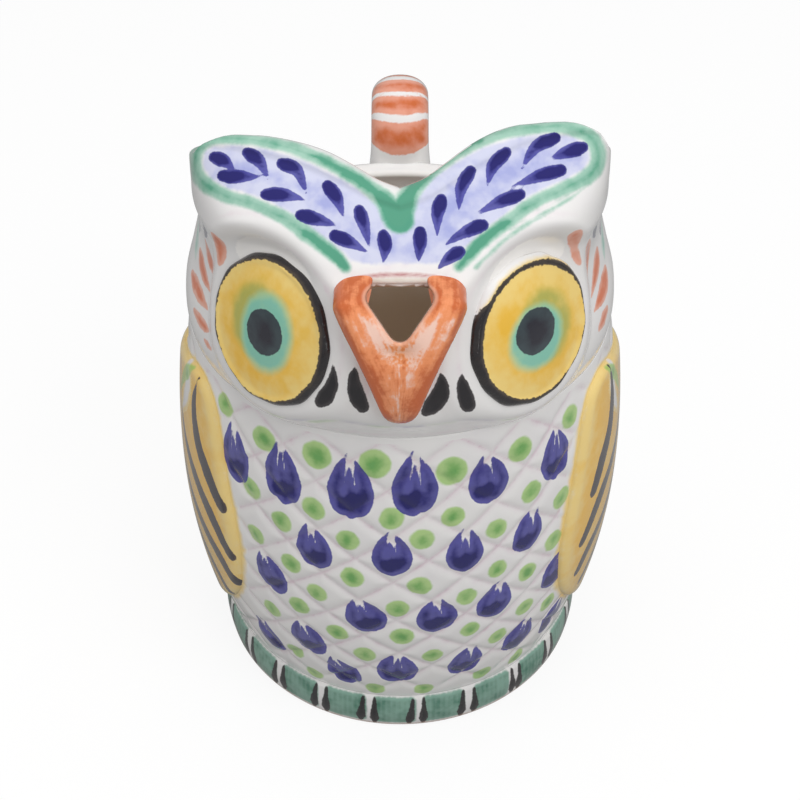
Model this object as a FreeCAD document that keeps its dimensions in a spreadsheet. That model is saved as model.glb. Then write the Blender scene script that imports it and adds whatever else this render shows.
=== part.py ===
import FreeCAD, Part
import math
import os

import Sketcher
from FreeCAD import Placement, Rotation, Vector

# An owl-shaped cream jug of glazed earthenware, in millimetres.
# The owl faces -Y, +Z is up, and the origin is the middle of the foot on the table.
# Left and right are as seen by someone who looks the owl in the face.

os.makedirs("parts", exist_ok=True)

SIZES = {
    "wall": 4.2,
    "belly_radius": 43.0,
    "neck_inset": 3.4,
    "foot_inset": 4.5,
    "foot_ring_width": 6.5,
    "foot_height": 9.5,
    "foot_edge_round": 1.0,
    "foot_step": 0.6,
    "floor_thickness": 5.0,
    "belly_height": 47.0,
    "neck_height": 83.0,
    "head_height": 43.0,
    "notch_drop": 5.4,
    "rear_rim_rise": 6.5,
    "brow_relief": 1.0,
    "wing_relief": 1.2,
    "wing_top_gap": 3.5,
    "wing_bottom_gap": 7.5,
    "eye_radius": 13.0,
    "eye_beak_gap": 0.8,
    "eye_rise": 17.4,
    "eye_seat_depth": 2.8,
    "eye_rim_thickness": 2.9,
    "eye_dome": 1.4,
    "beak_half_width": 10.8,
    "beak_length": 22.6,
    "beak_brow_gap": 0.46,
    "beak_reach": 8.5,
    "spout_half_width": 6.9,
    "spout_height": 8.4,
    "spout_rise": 19.1,
    "spout_corner": 1.7,
    "handle_width": 11.8,
    "handle_thickness": 8.6,
    "handle_root_drop": 5.5,
    "handle_stand": 0.5,
    "handle_bend_radius": 7.4,
    "handle_back_radius": 30.0,
    "handle_tail": 28.0,
    "handle_sink": 0.8,
    "overrun": 30.0,
}

doc = FreeCAD.newDocument("owl_creamer")
sheet = doc.addObject("Spreadsheet::Sheet", "sizes")
for row, (name, value) in enumerate(SIZES.items(), start=1):
    sheet.set(f"A{row}", name)
    sheet.set(f"B{row}", str(value))
    sheet.setAlias(f"B{row}", name)
doc.recompute()


class Size:
    """A length of the sheet, or a sum of them, with the formula that gives it."""

    def __init__(self, value, formula):
        self.value = value
        self.formula = formula

    def __add__(self, other):
        return Size(self.value + other.value, f"({self.formula} + {other.formula})")

    def __sub__(self, other):
        return Size(self.value - other.value, f"({self.formula} - {other.formula})")


def size(name):
    """The length of that name, as a value and as a formula."""
    return Size(float(sheet.get(name)), f"sizes.{name}")


def length(name):
    """The value of the length of that name."""
    return size(name).value


NOTHING = Size(0, "0 * sizes.wall")
NECK_RADIUS = size("belly_radius") - size("neck_inset")
FOOT_RADIUS = size("belly_radius") - size("foot_inset")
FOOT_INNER_RADIUS = FOOT_RADIUS - size("foot_ring_width")
SIDES = {"left": -1, "right": 1}
UP = Vector(0, 0, 1)


def smooth_edge(points, closed):
    """A smooth curve through the points."""
    curve = Part.BSplineCurve()
    spacing = [step / len(points) for step in range(len(points) + 1)]
    if closed:
        curve.interpolate(Points=points, Parameters=spacing, PeriodicFlag=True)
    else:
        curve.interpolate(Points=points)
    return curve.toShape()


def cutting_block(points, corners, push):
    """A solid between a smooth curve, straight lines through the corners, and a push of that outline."""
    turns = [points[-1]] + corners + [points[0]]
    lines = [Part.LineSegment(start, end).toShape() for start, end in zip(turns, turns[1:])]
    return Part.Face(Part.Wire([smooth_edge(points, False)] + lines)).extrude(push)


# Body, foot and floor: turned pieces

def arc_between(start, end, centre_height):
    """The arc between two corners of an outline whose centre lies at that height, and whether it runs upwards."""
    low_gap = start[1] - centre_height
    high_gap = end[1] - centre_height
    squares = start[0] ** 2 - end[0] ** 2 + low_gap ** 2 - high_gap ** 2
    centre = Vector(squares / (start[0] - end[0]) / 2, centre_height, 0)
    radius = math.hypot(start[0] - centre.x, low_gap)
    angles = [math.atan2(point[1] - centre.y, point[0] - centre.x) for point in (start, end)]
    return Part.ArcOfCircle(Part.Circle(centre, UP, radius), min(angles), max(angles)), angles[0] < angles[1]


def outline_edges(outline):
    """The lines and arcs of an outline of (radius, height, centre height of the arc that follows or None)."""
    edges = []
    for corner, (radius, height, arc_height) in enumerate(outline):
        next_radius, next_height, _ = outline[(corner + 1) % len(outline)]
        start = (radius.value, height.value)
        end = (next_radius.value, next_height.value)
        if arc_height is None:
            edges.append((Part.LineSegment(Vector(*start, 0), Vector(*end, 0)), True))
        else:
            edges.append(arc_between(start, end, arc_height.value))
    return edges


def bind(sketch, constraint, formula):
    """Adds a constraint whose value follows a formula of the sheet."""
    place = sketch.addConstraint(constraint)
    sketch.setExpression(f"Constraints[{place}]", formula)


def turned_body(label, outline):
    """A body turned round the vertical axis from an outline."""
    body = doc.addObject("PartDesign::Body", label)
    body.Label = label
    sketch = body.newObject("Sketcher::SketchObject", label + "_outline")
    side_plane = [plane for plane in body.Origin.OriginFeatures if plane.Role == "XZ_Plane"][0]
    sketch.AttachmentSupport = (side_plane, [""])
    sketch.MapMode = "FlatFace"
    ends = []
    for (geometry, forward), (_, _, arc_height) in zip(outline_edges(outline), outline):
        edge = sketch.addGeometry(geometry)
        ends.append((edge, 1, 2) if forward else (edge, 2, 1))
        if arc_height is not None:
            centre = Sketcher.Constraint("DistanceY", -1, 1, edge, 3, arc_height.value)
            bind(sketch, centre, arc_height.formula)
    for corner, (radius, height, _) in enumerate(outline):
        edge, first, _ = ends[corner]
        before, _, last = ends[corner - 1]
        sketch.addConstraint(Sketcher.Constraint("Coincident", before, last, edge, first))
        bind(sketch, Sketcher.Constraint("DistanceX", -1, 1, edge, first, radius.value), radius.formula)
        bind(sketch, Sketcher.Constraint("DistanceY", -1, 1, edge, first, height.value), height.formula)
    turn = body.newObject("PartDesign::Revolution", label + "_turn")
    turn.Profile = sketch
    turn.ReferenceAxis = (sketch, ["V_Axis"])
    turn.Angle = 360
    doc.recompute()
    return body


def body_outline(raised, depth):
    """The lower body from a raised surface inwards to a depth; without a depth it reaches the axis."""
    foot = FOOT_RADIUS - size("foot_step")
    belly = size("belly_radius")
    neck = NECK_RADIUS
    low = size("foot_height")
    middle = size("belly_height")
    high = size("neck_height")
    outline = [
        (foot + raised, low, middle),
        (belly + raised, middle, middle),
        (neck + raised, high, None),
    ]
    if depth is None:
        return outline + [(NOTHING, high, None), (NOTHING, low, None)]
    return outline + [
        (neck - depth, high, middle),
        (belly - depth, middle, middle),
        (foot - depth, low, None),
    ]


def body_solid(raised):
    """The lower body as a full solid, its surface raised by a size."""
    edges = [geometry.toShape() for geometry, _ in outline_edges(body_outline(raised, None))]
    face = Part.Face(Part.Wire(Part.sortEdges(edges)[0]))
    face.rotate(Vector(0, 0, 0), Vector(1, 0, 0), 90)
    return face.revolve(Vector(0, 0, 0), UP, 360)


def make_body_shell():
    """The lower body: one wall, open at the neck and at the floor."""
    return turned_body("body_shell", body_outline(NOTHING, size("wall")))


def make_foot_ring():
    """The ring that the jug stands on, its lower edges rounded."""
    high = size("foot_height")
    body = turned_body("foot_ring", [
        (FOOT_INNER_RADIUS, NOTHING, None),
        (FOOT_RADIUS, NOTHING, None),
        (FOOT_RADIUS, high, None),
        (FOOT_INNER_RADIUS, high, None),
    ])
    ring = body.Tip
    low_edges = [
        f"Edge{place}" for place, edge in enumerate(ring.Shape.Edges, start=1)
        if edge.CenterOfMass.z < length("foot_edge_round") and len(edge.Vertexes) == 1
    ]
    rounding = body.newObject("PartDesign::Fillet", "foot_ring_edges")
    rounding.Base = (ring, low_edges)
    rounding.setExpression("Radius", "sizes.foot_edge_round")
    doc.recompute()
    return body


def make_base_floor():
    """The floor disc, let into the foot ring and level with its top."""
    disc = doc.addObject("Part::Cylinder", "base_floor")
    disc.Label = "base_floor"
    disc.setExpression("Radius", FOOT_INNER_RADIUS.formula)
    disc.setExpression("Height", "sizes.floor_thickness")
    disc.setExpression("Placement.Base.z", "sizes.foot_height - sizes.floor_thickness")
    return disc


# Head: a wall through level sections, cut to the rim

# Height from neck to crest, reach in front, at the side and behind by the neck radius,
# squareness of the front half, and how far in the inner surface lies by the wall.
HEAD_LEVEL_SHARES = (
    (0.00, 1.000, 1.000, 1.000, 2.00, 1.00),
    (0.07, 1.045, 1.008, 0.975, 1.95, 1.00),
    (0.16, 1.115, 1.002, 0.925, 1.82, 1.00),
    (0.33, 1.128, 0.953, 0.880, 1.68, 1.00),
    (0.47, 1.088, 0.915, 0.850, 1.74, 1.05),
    (0.61, 1.005, 0.908, 0.840, 2.00, 1.20),
    (0.74, 0.868, 0.893, 0.835, 2.50, 1.30),
    (0.86, 0.665, 0.886, 0.830, 3.10, 1.15),
    (0.95, 0.470, 0.880, 0.825, 3.50, 0.90),
    (1.03, 0.315, 0.870, 0.825, 3.50, 0.75),
)

SECTION_POINTS = 36


def head_section(level, raised, sunk):
    """One level section of the head, raised by a length or sunk by a share of the wall."""
    height_share, front_share, side_share, rear_share, squareness, _ = level
    inset = sunk * length("wall") - raised
    front = front_share * NECK_RADIUS.value - inset
    side = side_share * NECK_RADIUS.value - min(inset, length("wall"))
    rear = rear_share * NECK_RADIUS.value - min(inset, length("wall"))
    height = length("neck_height") + height_share * length("head_height")
    points = []
    for step in range(SECTION_POINTS):
        turn = math.pi + 2 * math.pi * step / SECTION_POINTS
        facing = math.cos(turn) > 0
        power = squareness if facing else 2
        across = abs(math.sin(turn)) / side
        along = abs(math.cos(turn)) / (front if facing else rear)
        reach = (across ** power + along ** power) ** (-1 / power)
        points.append(Vector(reach * math.sin(turn), -reach * math.cos(turn), height))
    return Part.Wire([smooth_edge(points, True)])


def head_solid(raised, hollow):
    """The head as a full solid: its outer surface raised by a length, or its inner surface."""
    wires = [head_section(level, raised, level[-1] if hollow else 0) for level in HEAD_LEVEL_SHARES]
    return Part.makeLoft(wires, True, False)


# Depth by the neck radius, and height from the rear rim to the crest.
RIM_SHARES = (
    (1.60, 0.00),
    (0.90, 0.00),
    (0.45, 0.02),
    (0.20, 0.12),
    (0.02, 0.34),
    (-0.12, 0.64),
    (-0.22, 0.88),
    (-0.30, 1.08),
    (-0.36, 1.30),
)

# Distance from the middle by the neck radius, and height from the notch to the crest.
CREST_SHARES = (
    (0.00, 0.00),
    (0.10, 0.22),
    (0.19, 0.50),
    (0.30, 0.76),
    (0.45, 0.96),
    (0.62, 1.00),
    (0.76, 0.86),
    (0.86, 0.38),
    (0.93, -0.60),
    (1.02, -2.60),
)


def above_rim():
    """The space above the rim, which sweeps from the low rear up to the brows, as seen from the side."""
    low = length("neck_height") + length("rear_rim_rise")
    rise = length("head_height") - length("rear_rim_rise")
    beside = -NECK_RADIUS.value - length("overrun")
    points = [Vector(beside, depth * NECK_RADIUS.value, low + share * rise) for depth, share in RIM_SHARES]
    ceiling = low + rise + length("overrun")
    corners = [Vector(beside, points[-1].y, ceiling), Vector(beside, points[0].y, ceiling)]
    return cutting_block(points, corners, Vector(-2 * beside, 0, 0))


def above_crest():
    """The space above the two brows and the notch between them, as seen from the front."""
    low = length("neck_height") + length("head_height") - length("notch_drop")
    half = [(across * NECK_RADIUS.value, low + share * length("notch_drop")) for across, share in CREST_SHARES]
    outline = [(-across, height) for across, height in reversed(half[1:])] + half
    near = -NECK_RADIUS.value - length("overrun")
    points = [Vector(across, near, height) for across, height in outline]
    ceiling = low + length("notch_drop") + length("overrun")
    corners = [Vector(points[-1].x, near, ceiling), Vector(points[0].x, near, ceiling)]
    return cutting_block(points, corners, Vector(0, -2 * near, 0))


# Brows: the upper front of the head, raised a little

# Lower edge of a brow: distance from the middle by the neck radius, and height from neck to crest.
BROW_LOWER_SHARES = (
    (0.00, 0.735),
    (0.25, 0.740),
    (0.50, 0.735),
    (0.68, 0.715),
    (0.84, 0.675),
    (0.95, 0.650),
    (1.10, 0.650),
)


def brow_block(side):
    """The space that one brow takes, in front of the rim."""
    near = -NECK_RADIUS.value - length("overrun")
    points = [
        Vector(side * across * NECK_RADIUS.value, near, length("neck_height") + share * length("head_height"))
        for across, share in BROW_LOWER_SHARES
    ]
    ceiling = length("neck_height") + length("head_height") + length("overrun")
    corners = [Vector(points[-1].x, near, ceiling), Vector(0, near, ceiling)]
    return cutting_block(points, corners, Vector(0, -near, 0))


# Eyes: domed discs let into the face

EYE_BEARINGS = (10.0, 80.0)
BEARING_HALVINGS = 14
EYE_FORWARD_TURN = math.radians(4)
EYE_UPWARD_TURN = math.radians(8.4)


def surface_place(solid, bearing, height):
    """The point where a level line from the axis leaves a solid, and the direction square to its surface there."""
    reach = NECK_RADIUS.value + length("overrun")
    middle = Vector(0, 0, height)
    far = middle + Vector(reach * math.sin(bearing), -reach * math.cos(bearing), 0)
    nearest = Part.Vertex(far).distToShape(solid.common(Part.makeLine(middle, far)))[1][0][1]
    faces = sorted(solid.Faces, key=lambda face: face.distToShape(Part.Vertex(nearest))[0])
    outward = faces[0].normalAt(*faces[0].Surface.parameter(nearest))
    return nearest, outward


def eye_place(head_outer, bearing, height):
    """An eye's middle on the face, and the way it looks: the face's own way there, turned a little forwards and up."""
    place, outward = surface_place(head_outer, bearing, height)
    level = math.atan2(outward.x, -outward.y) - math.copysign(EYE_FORWARD_TURN, outward.x)
    rise = math.asin(outward.z) + EYE_UPWARD_TURN
    return place, Vector(math.sin(level) * math.cos(rise), -math.cos(level) * math.cos(rise), math.sin(rise))


def eye_bearing(head_outer, height):
    """The bearing at which an eye's inner edge stands a named gap off the beak."""
    low, high = [math.radians(bearing) for bearing in EYE_BEARINGS]
    for _ in range(BEARING_HALVINGS):
        bearing = (low + high) / 2
        place, look = eye_place(head_outer, bearing, height)
        inner_edge = place.x - length("eye_radius") * abs(look.y) / math.hypot(look.x, look.y)
        if inner_edge < length("beak_half_width") + length("eye_beak_gap"):
            low = bearing
        else:
            high = bearing
    return high


def eye_placement(head_outer, bearing, height):
    """Where an eye's back face lies, square to the way it looks."""
    place, look = eye_place(head_outer, bearing, height)
    return Placement(place - look * length("eye_seat_depth"), Rotation(UP, look))


def make_eye(label, placement):
    """One eye: a disc with a domed front."""
    disc = doc.addObject("Part::Cylinder", label + "_disc")
    disc.setExpression("Radius", "sizes.eye_radius")
    disc.setExpression("Height", "sizes.eye_rim_thickness + sizes.eye_dome")
    ball = doc.addObject("Part::Sphere", label + "_ball")
    bulge = "(sizes.eye_radius ^ 2 + sizes.eye_dome ^ 2) / (2 * sizes.eye_dome)"
    ball.setExpression("Radius", bulge)
    ball.setExpression("Placement.Base.z", f"sizes.eye_rim_thickness + sizes.eye_dome - {bulge}")
    eye = doc.addObject("Part::Common", label)
    eye.Base = disc
    eye.Tool = ball
    eye.Label = label
    eye.Placement = placement
    return eye


def eye_seat(placement):
    """The round pocket that an eye lies in."""
    seat = Part.makeCylinder(length("eye_radius"), length("overrun"))
    seat.Placement = placement
    return seat


# Beak: a thick V-shaped lip round the spout hole

# Distance from the middle by the beak's half width, and height from tip to top.
BEAK_OUTLINE_SHARES = (
    (0.60, 1.03),
    (0.92, 0.995),
    (1.00, 0.93),
    (0.93, 0.85),
    (0.71, 0.67),
    (0.49, 0.45),
    (0.32, 0.27),
    (0.17, 0.09),
    (0.00, 0.00),
)

# Depth beyond the head's front by the beak's reach, and height from tip to top, as seen from the side.
BEAK_SIDE_SHARES = (
    (0.00, 1.10),
    (0.50, 0.92),
    (0.88, 0.62),
    (1.00, 0.34),
    (0.84, 0.10),
    (0.42, -0.06),
)

# Distance from the middle by the beak's half width, and depth by its reach, as seen from above.
BEAK_PLAN_SHARES = (
    (1.30, -0.50),
    (1.00, 0.15),
    (0.60, 0.74),
    (0.25, 0.96),
    (0.00, 1.00),
)


def mirrored(half):
    """An outline of (distance from the middle, value) points from one side, through the middle, to the other."""
    return half + [(-across, value) for across, value in reversed(half[:-1])]


def beak_tip_height():
    """The beak hangs a named gap under the brows' lower edge."""
    brow_edge = length("neck_height") + BROW_LOWER_SHARES[0][1] * length("head_height")
    return brow_edge - length("beak_brow_gap") - BEAK_OUTLINE_SHARES[0][1] * length("beak_length")


def beak_envelope():
    """The beak before it is hollowed."""
    width = length("beak_half_width")
    reach = length("beak_reach")
    rise = length("beak_length")
    tip = beak_tip_height()
    base = NECK_RADIUS.value
    near = -base - reach - length("overrun")
    front = mirrored([(across * width, tip + share * rise) for across, share in BEAK_OUTLINE_SHARES])
    front_points = [Vector(across, near, height) for across, height in front]
    front_block = cutting_block(front_points, [], Vector(0, -near, 0))
    beside = -width - length("overrun")
    side_points = [Vector(beside, -base - depth * reach, tip + share * rise) for depth, share in BEAK_SIDE_SHARES]
    side_corners = [Vector(beside, 0, side_points[-1].z), Vector(beside, 0, side_points[0].z)]
    side_block = cutting_block(side_points, side_corners, Vector(-2 * beside, 0, 0))
    plan = mirrored([(across * width, -base - depth * reach) for across, depth in BEAK_PLAN_SHARES])
    plan_points = [Vector(across, depth, tip - rise) for across, depth in plan]
    plan_corners = [Vector(plan_points[-1].x, 0, tip - rise), Vector(plan_points[0].x, 0, tip - rise)]
    plan_block = cutting_block(plan_points, plan_corners, Vector(0, 0, 3 * rise))
    return front_block.common(side_block).common(plan_block)


SPOUT_LEAN = 38.0
SPOUT_TOP_SHARE = 0.45


def spout_cutter(head_outer, open_top):
    """The slanting way through the front wall, open above where it only cuts the beak."""
    half = length("spout_half_width")
    top = length("spout_height") * SPOUT_TOP_SHARE
    point = Vector(0, top - length("spout_height") - length("spout_corner"), 0)
    left = Vector(-half, top, 0)
    right = Vector(half, top, 0)
    lift = Vector(0, length("spout_height"), 0)
    corners = [left, point, right]
    if open_top:
        corners = [left + lift, left, point, right, right + lift]
    bore = Part.Face(Part.makePolygon(corners + corners[:1])).extrude(Vector(0, 0, 2 * length("overrun")))
    along = [edge for edge in bore.Edges if abs(edge.Vertexes[0].Z - edge.Vertexes[-1].Z) > length("overrun")]
    bore = bore.makeFillet(length("spout_corner"), along)
    place, _ = surface_place(head_outer, 0, beak_tip_height() + length("spout_rise"))
    lean = Rotation(Vector(1, 0, 0), 90 - SPOUT_LEAN)
    bore.Placement = Placement(place - lean.multVec(UP) * length("overrun"), lean)
    return bore


# Wings: raised panels on both sides of the body

# A wing's outline as seen from the side: depth by the belly radius, and height from bottom to top.
WING_SHARES = (
    (-0.28, 1.00),
    (-0.47, 0.975),
    (-0.575, 0.86),
    (-0.675, 0.64),
    (-0.705, 0.44),
    (-0.655, 0.24),
    (-0.50, 0.075),
    (-0.26, 0.00),
    (0.06, 0.05),
    (0.38, 0.24),
    (0.60, 0.55),
    (0.54, 0.84),
    (0.22, 0.99),
)


def make_wing(label, side):
    """One wing: a panel of even thickness on the side of the body."""
    low = length("foot_height") + length("wing_bottom_gap")
    rise = length("neck_height") - length("wing_top_gap") - low
    points = [Vector(0, depth * length("belly_radius"), low + share * rise) for depth, share in WING_SHARES]
    face = Part.Face(Part.Wire([smooth_edge(points, True)]))
    block = face.extrude(Vector(side * (length("belly_radius") + length("overrun")), 0, 0))
    return shape_piece(label, body_solid(size("wing_relief")).common(block).cut(body_solid(NOTHING)))


# Handle: a strap that rises behind the rear rim and loops down to the belly

HANDLE_BEND = math.radians(130)
HANDLE_BACK = math.radians(95)
HANDLE_SQUARENESS = 2.3


def handle_path():
    """The handle's middle line: up, over a tight bend, down a wide one and in to the belly."""
    rear = HEAD_LEVEL_SHARES[2][3] * NECK_RADIUS.value
    depth = rear + length("handle_thickness") / 2 - length("handle_sink")
    rim = length("neck_height") + length("rear_rim_rise")
    bend = length("handle_bend_radius")
    back = length("handle_back_radius")

    def spot(centre, radius, angle):
        return centre + Vector(0, radius * math.cos(angle), radius * math.sin(angle))

    root = Vector(0, depth, rim - length("handle_root_drop"))
    shoulder = Vector(0, depth, rim + length("handle_stand"))
    bend_centre = shoulder + Vector(0, bend, 0)
    bend_end = math.pi - HANDLE_BEND
    back_centre = spot(bend_centre, bend - back, bend_end)
    back_end = bend_end - HANDLE_BACK
    tail_start = spot(back_centre, back, back_end)
    tail_end = tail_start + Vector(0, math.sin(back_end), -math.cos(back_end)) * length("handle_tail")
    bend_arc = Part.Arc(shoulder, spot(bend_centre, bend, (math.pi + bend_end) / 2), spot(bend_centre, bend, bend_end))
    back_arc = Part.Arc(
        spot(back_centre, back, bend_end), spot(back_centre, back, (bend_end + back_end) / 2), tail_start,
    )
    runs = [Part.LineSegment(root, shoulder), bend_arc, back_arc, Part.LineSegment(tail_start, tail_end)]
    return Part.Wire([run.toShape() for run in runs])


def handle_strap():
    """The strap before its ends are cut to the body."""
    path = handle_path()
    half_width = length("handle_width") / 2
    half_thick = length("handle_thickness") / 2
    start = path.Edges[0].Vertexes[0].Point
    points = []
    for step in range(SECTION_POINTS):
        turn = 2 * math.pi * step / SECTION_POINTS
        across = abs(math.cos(turn)) / half_width
        along = abs(math.sin(turn)) / half_thick
        reach = (across ** HANDLE_SQUARENESS + along ** HANDLE_SQUARENESS) ** (-1 / HANDLE_SQUARENESS)
        points.append(start + Vector(reach * math.cos(turn), reach * math.sin(turn), 0))
    return path.makePipeShell([Part.Wire([smooth_edge(points, True)])], True, True)


def shape_piece(label, shape):
    """Adds a piece with a shape of its own: the largest solid that the cuts leave."""
    piece = doc.addObject("Part::Feature", label)
    piece.Label = label
    piece.Shape = sorted(shape.Solids, key=lambda solid: solid.Volume)[-1]
    return piece


def make_pieces():
    """Every piece of the jug."""
    pieces = [make_body_shell(), make_foot_ring(), make_base_floor()]
    head_outer = head_solid(0, False)
    head_inner = head_solid(0, True)
    raised_head = head_solid(length("brow_relief"), False)
    eye_height = length("neck_height") + length("eye_rise")
    bearing = eye_bearing(head_outer, eye_height)
    placements = {label: eye_placement(head_outer, side * bearing, eye_height) for label, side in SIDES.items()}
    for label, placement in placements.items():
        pieces.append(make_eye(label + "_eye", placement))
    open_top = [above_rim(), above_crest()]
    openings = [eye_seat(placement) for placement in placements.values()] + [spout_cutter(head_outer, False)]
    blocks = {label: brow_block(side) for label, side in SIDES.items()}
    wall = head_outer.cut(head_inner).cut(open_top)
    pieces.append(shape_piece("head_shell", wall.cut(openings + list(blocks.values()))))
    raised_wall = raised_head.cut(head_inner).cut(open_top)
    for label, block in blocks.items():
        pieces.append(shape_piece(label + "_brow", raised_wall.common(block).cut(openings)))
    beak = beak_envelope().cut([head_outer, spout_cutter(head_outer, True)])
    pieces.append(shape_piece("beak_spout", beak))
    for label, side in SIDES.items():
        pieces.append(make_wing(label + "_wing", side))
    strap = handle_strap().cut([head_outer, body_solid(NOTHING)])
    pieces.append(shape_piece("handle", strap))
    doc.recompute()
    return pieces


def check(pieces):
    """Stops if the document or a piece is not sound."""
    for thing in doc.Objects:
        if "Invalid" in thing.State or "Error" in thing.State:
            raise ValueError(f"{thing.Label} failed")
    for piece in pieces:
        if piece.Shape.isNull() or not piece.Shape.isValid() or len(piece.Shape.Solids) != 1:
            raise ValueError(f"{piece.Label} is not one sound solid")


all_pieces = make_pieces()
check(all_pieces)
for piece in all_pieces:
    piece.Shape.exportStep(f"parts/{piece.Label}.step")
    print(piece.Label, round(piece.Shape.Volume), piece.Shape.BoundBox)
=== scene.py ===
import math

import bmesh
import bpy
import numpy as np
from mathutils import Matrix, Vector


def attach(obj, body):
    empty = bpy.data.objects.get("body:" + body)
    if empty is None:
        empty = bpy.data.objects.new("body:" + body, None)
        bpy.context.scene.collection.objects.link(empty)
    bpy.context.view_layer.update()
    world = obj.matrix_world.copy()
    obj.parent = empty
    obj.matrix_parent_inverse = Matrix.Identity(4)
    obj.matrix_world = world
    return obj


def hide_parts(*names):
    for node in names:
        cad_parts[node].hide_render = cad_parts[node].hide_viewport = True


# An owl-shaped cream jug of painted and glazed earthenware, as it stands in the photograph.
# Shapes are worked out in millimetres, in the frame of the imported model, and stored in metres.
# A bearing is an angle round the upright axis: 0 is where the owl faces, and it grows to the viewer's right.
# Paint is kept on the skin as fields: the distance in millimetres to a stroke's edge, positive inside it.

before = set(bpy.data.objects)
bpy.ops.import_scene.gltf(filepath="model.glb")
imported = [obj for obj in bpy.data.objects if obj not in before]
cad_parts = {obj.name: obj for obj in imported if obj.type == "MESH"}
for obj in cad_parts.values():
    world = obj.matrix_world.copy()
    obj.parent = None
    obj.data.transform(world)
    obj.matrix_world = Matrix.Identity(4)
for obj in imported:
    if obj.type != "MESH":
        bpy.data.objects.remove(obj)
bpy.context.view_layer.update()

MM = 0.001
TURN = 2 * math.pi
FAR = -9.0
SIDES = {"left": -1, "right": 1}

# Sizes of the turned body and of the head

WALL = 4.2
FOOT_RADIUS = 38.5
FOOT_INNER_RADIUS = 32.0
FOOT_HEIGHT = 9.5
BODY_FOOT_RADIUS = 37.9
BELLY_RADIUS = 43.0
BELLY_HEIGHT = 47.0
NECK_RADIUS = 39.6
NECK_HEIGHT = 83.0
HEAD_HEIGHT = 43.0
NOTCH_DROP = 4.2
REAR_RIM_RISE = 6.5
BROW_RELIEF = 0.75
RIGHT_TUFT_RISE = 1.3
HEAD_TOP = NECK_HEIGHT + HEAD_HEIGHT + RIGHT_TUFT_RISE

# Levels of the head, as shares of its height: reach to the front, the side and the rear over the neck's
# radius, how square the front is, and the thickness of the front wall over WALL.
HEAD_LEVELS = np.array((
    (0.00, 1.000, 1.000, 1.000, 2.00, 1.00),
    (0.07, 1.045, 1.008, 0.975, 1.95, 1.00),
    (0.16, 1.115, 1.002, 0.925, 1.82, 1.00),
    (0.33, 1.128, 0.953, 0.880, 1.68, 1.00),
    (0.47, 1.088, 0.915, 0.850, 1.74, 1.05),
    (0.61, 1.005, 0.908, 0.840, 2.00, 1.20),
    (0.74, 0.868, 0.893, 0.835, 2.50, 1.30),
    (0.86, 0.665, 0.886, 0.830, 3.10, 1.15),
    (0.95, 0.470, 0.880, 0.825, 3.50, 0.90),
    (1.03, 0.315, 0.870, 0.825, 3.50, 0.75),
))
# The rim from the side: depth over the neck's radius, and height as a share from rear rim to brows.
RIM = np.array((
    (-0.36, 1.30), (-0.30, 1.08), (-0.22, 0.88), (-0.12, 0.64), (0.02, 0.34),
    (0.20, 0.12), (0.45, 0.02), (0.90, 0.00), (1.60, 0.00),
))
# The brows from the front: distance from the middle over the neck's radius, and height over the notch's drop.
CREST = np.array((
    (0.00, 0.00), (0.10, 0.20), (0.19, 0.46), (0.30, 0.74), (0.45, 0.96), (0.62, 1.00),
    (0.75, 0.80), (0.82, 0.44), (0.87, -0.12), (0.92, -1.15), (0.97, -2.55), (1.02, -4.20),
))
# The brows' lower edge: the same distance, and height as a share of the head's.
BROW_LOWER = np.array((
    (0.00, 0.735), (0.25, 0.740), (0.50, 0.735), (0.68, 0.715),
    (0.84, 0.675), (0.95, 0.650), (1.10, 0.650),
))
# A wing from the side: depth over the belly's radius, and height as a share of the wing's.
WING = np.array((
    (-0.40, 1.00), (-0.52, 0.97), (-0.60, 0.86), (-0.675, 0.64), (-0.705, 0.44), (-0.655, 0.24),
    (-0.50, 0.075), (-0.26, 0.00), (0.06, 0.05), (0.38, 0.24), (0.58, 0.50), (0.50, 0.72), (0.22, 0.85),
    (-0.10, 0.925), (-0.26, 0.97),
))
WING_LOW = 17.0
WING_HIGH = 79.5

# The photograph's camera, in metres and degrees, and its picture, in pixels

CAMERA_PLACE = (0.0, -0.2186, 0.2505)
CAMERA_PITCH = 41.6
CAMERA_LENS = 65.2
SENSOR_WIDTH = 36.0
PICTURE_WIDTH = 800
PIXELS_PER_MM = 5.9


# Curves and fields

def smoothstep(value, low, high):
    """0 below low, 1 above high, and a smooth rise between."""
    share = np.clip((value - low) / (high - low), 0, 1)
    return share * share * (3 - 2 * share)


def through(table, x, column=1):
    """A smooth curve through a table's points; the first column is x."""
    xs = table[:, 0]
    ys = table[:, column]
    slopes = np.gradient(ys, xs)
    place = np.clip(np.searchsorted(xs, x) - 1, 0, len(xs) - 2)
    step = xs[place + 1] - xs[place]
    t = np.clip((x - xs[place]) / step, 0, 1)
    rise = (2 * t ** 3 - 3 * t ** 2 + 1) * ys[place] + (3 * t ** 2 - 2 * t ** 3) * ys[place + 1]
    bend = (t ** 3 - 2 * t ** 2 + t) * slopes[place] + (t ** 3 - t ** 2) * slopes[place + 1]
    return rise + bend * step


def smooth_line(points, closed=False, steps=8):
    """More points on a smooth line through a few."""
    points = np.asarray(points, float)
    count = len(points)
    if closed:
        padded = np.vstack((points[-1:], points, points[:2]))
        runs = count
    else:
        padded = np.vstack((2 * points[:1] - points[1:2], points, 2 * points[-1:] - points[-2:-1]))
        runs = count - 1
    line = []
    for run in range(runs):
        before, start, end, after = padded[run:run + 4]
        for step in range(steps):
            t = step / steps
            curved = (2 * before - 5 * start + 4 * end - after) * t * t
            twisted = (3 * start - before - 3 * end + after) * t ** 3
            line.append(0.5 * (2 * start + (end - before) * t + curved + twisted))
    if not closed:
        line.append(points[-1])
    return np.array(line)


def length_along(line):
    """How far each point of a line lies from its start."""
    return np.concatenate(((0,), np.cumsum(np.linalg.norm(np.diff(line, axis=0), axis=1))))


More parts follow.
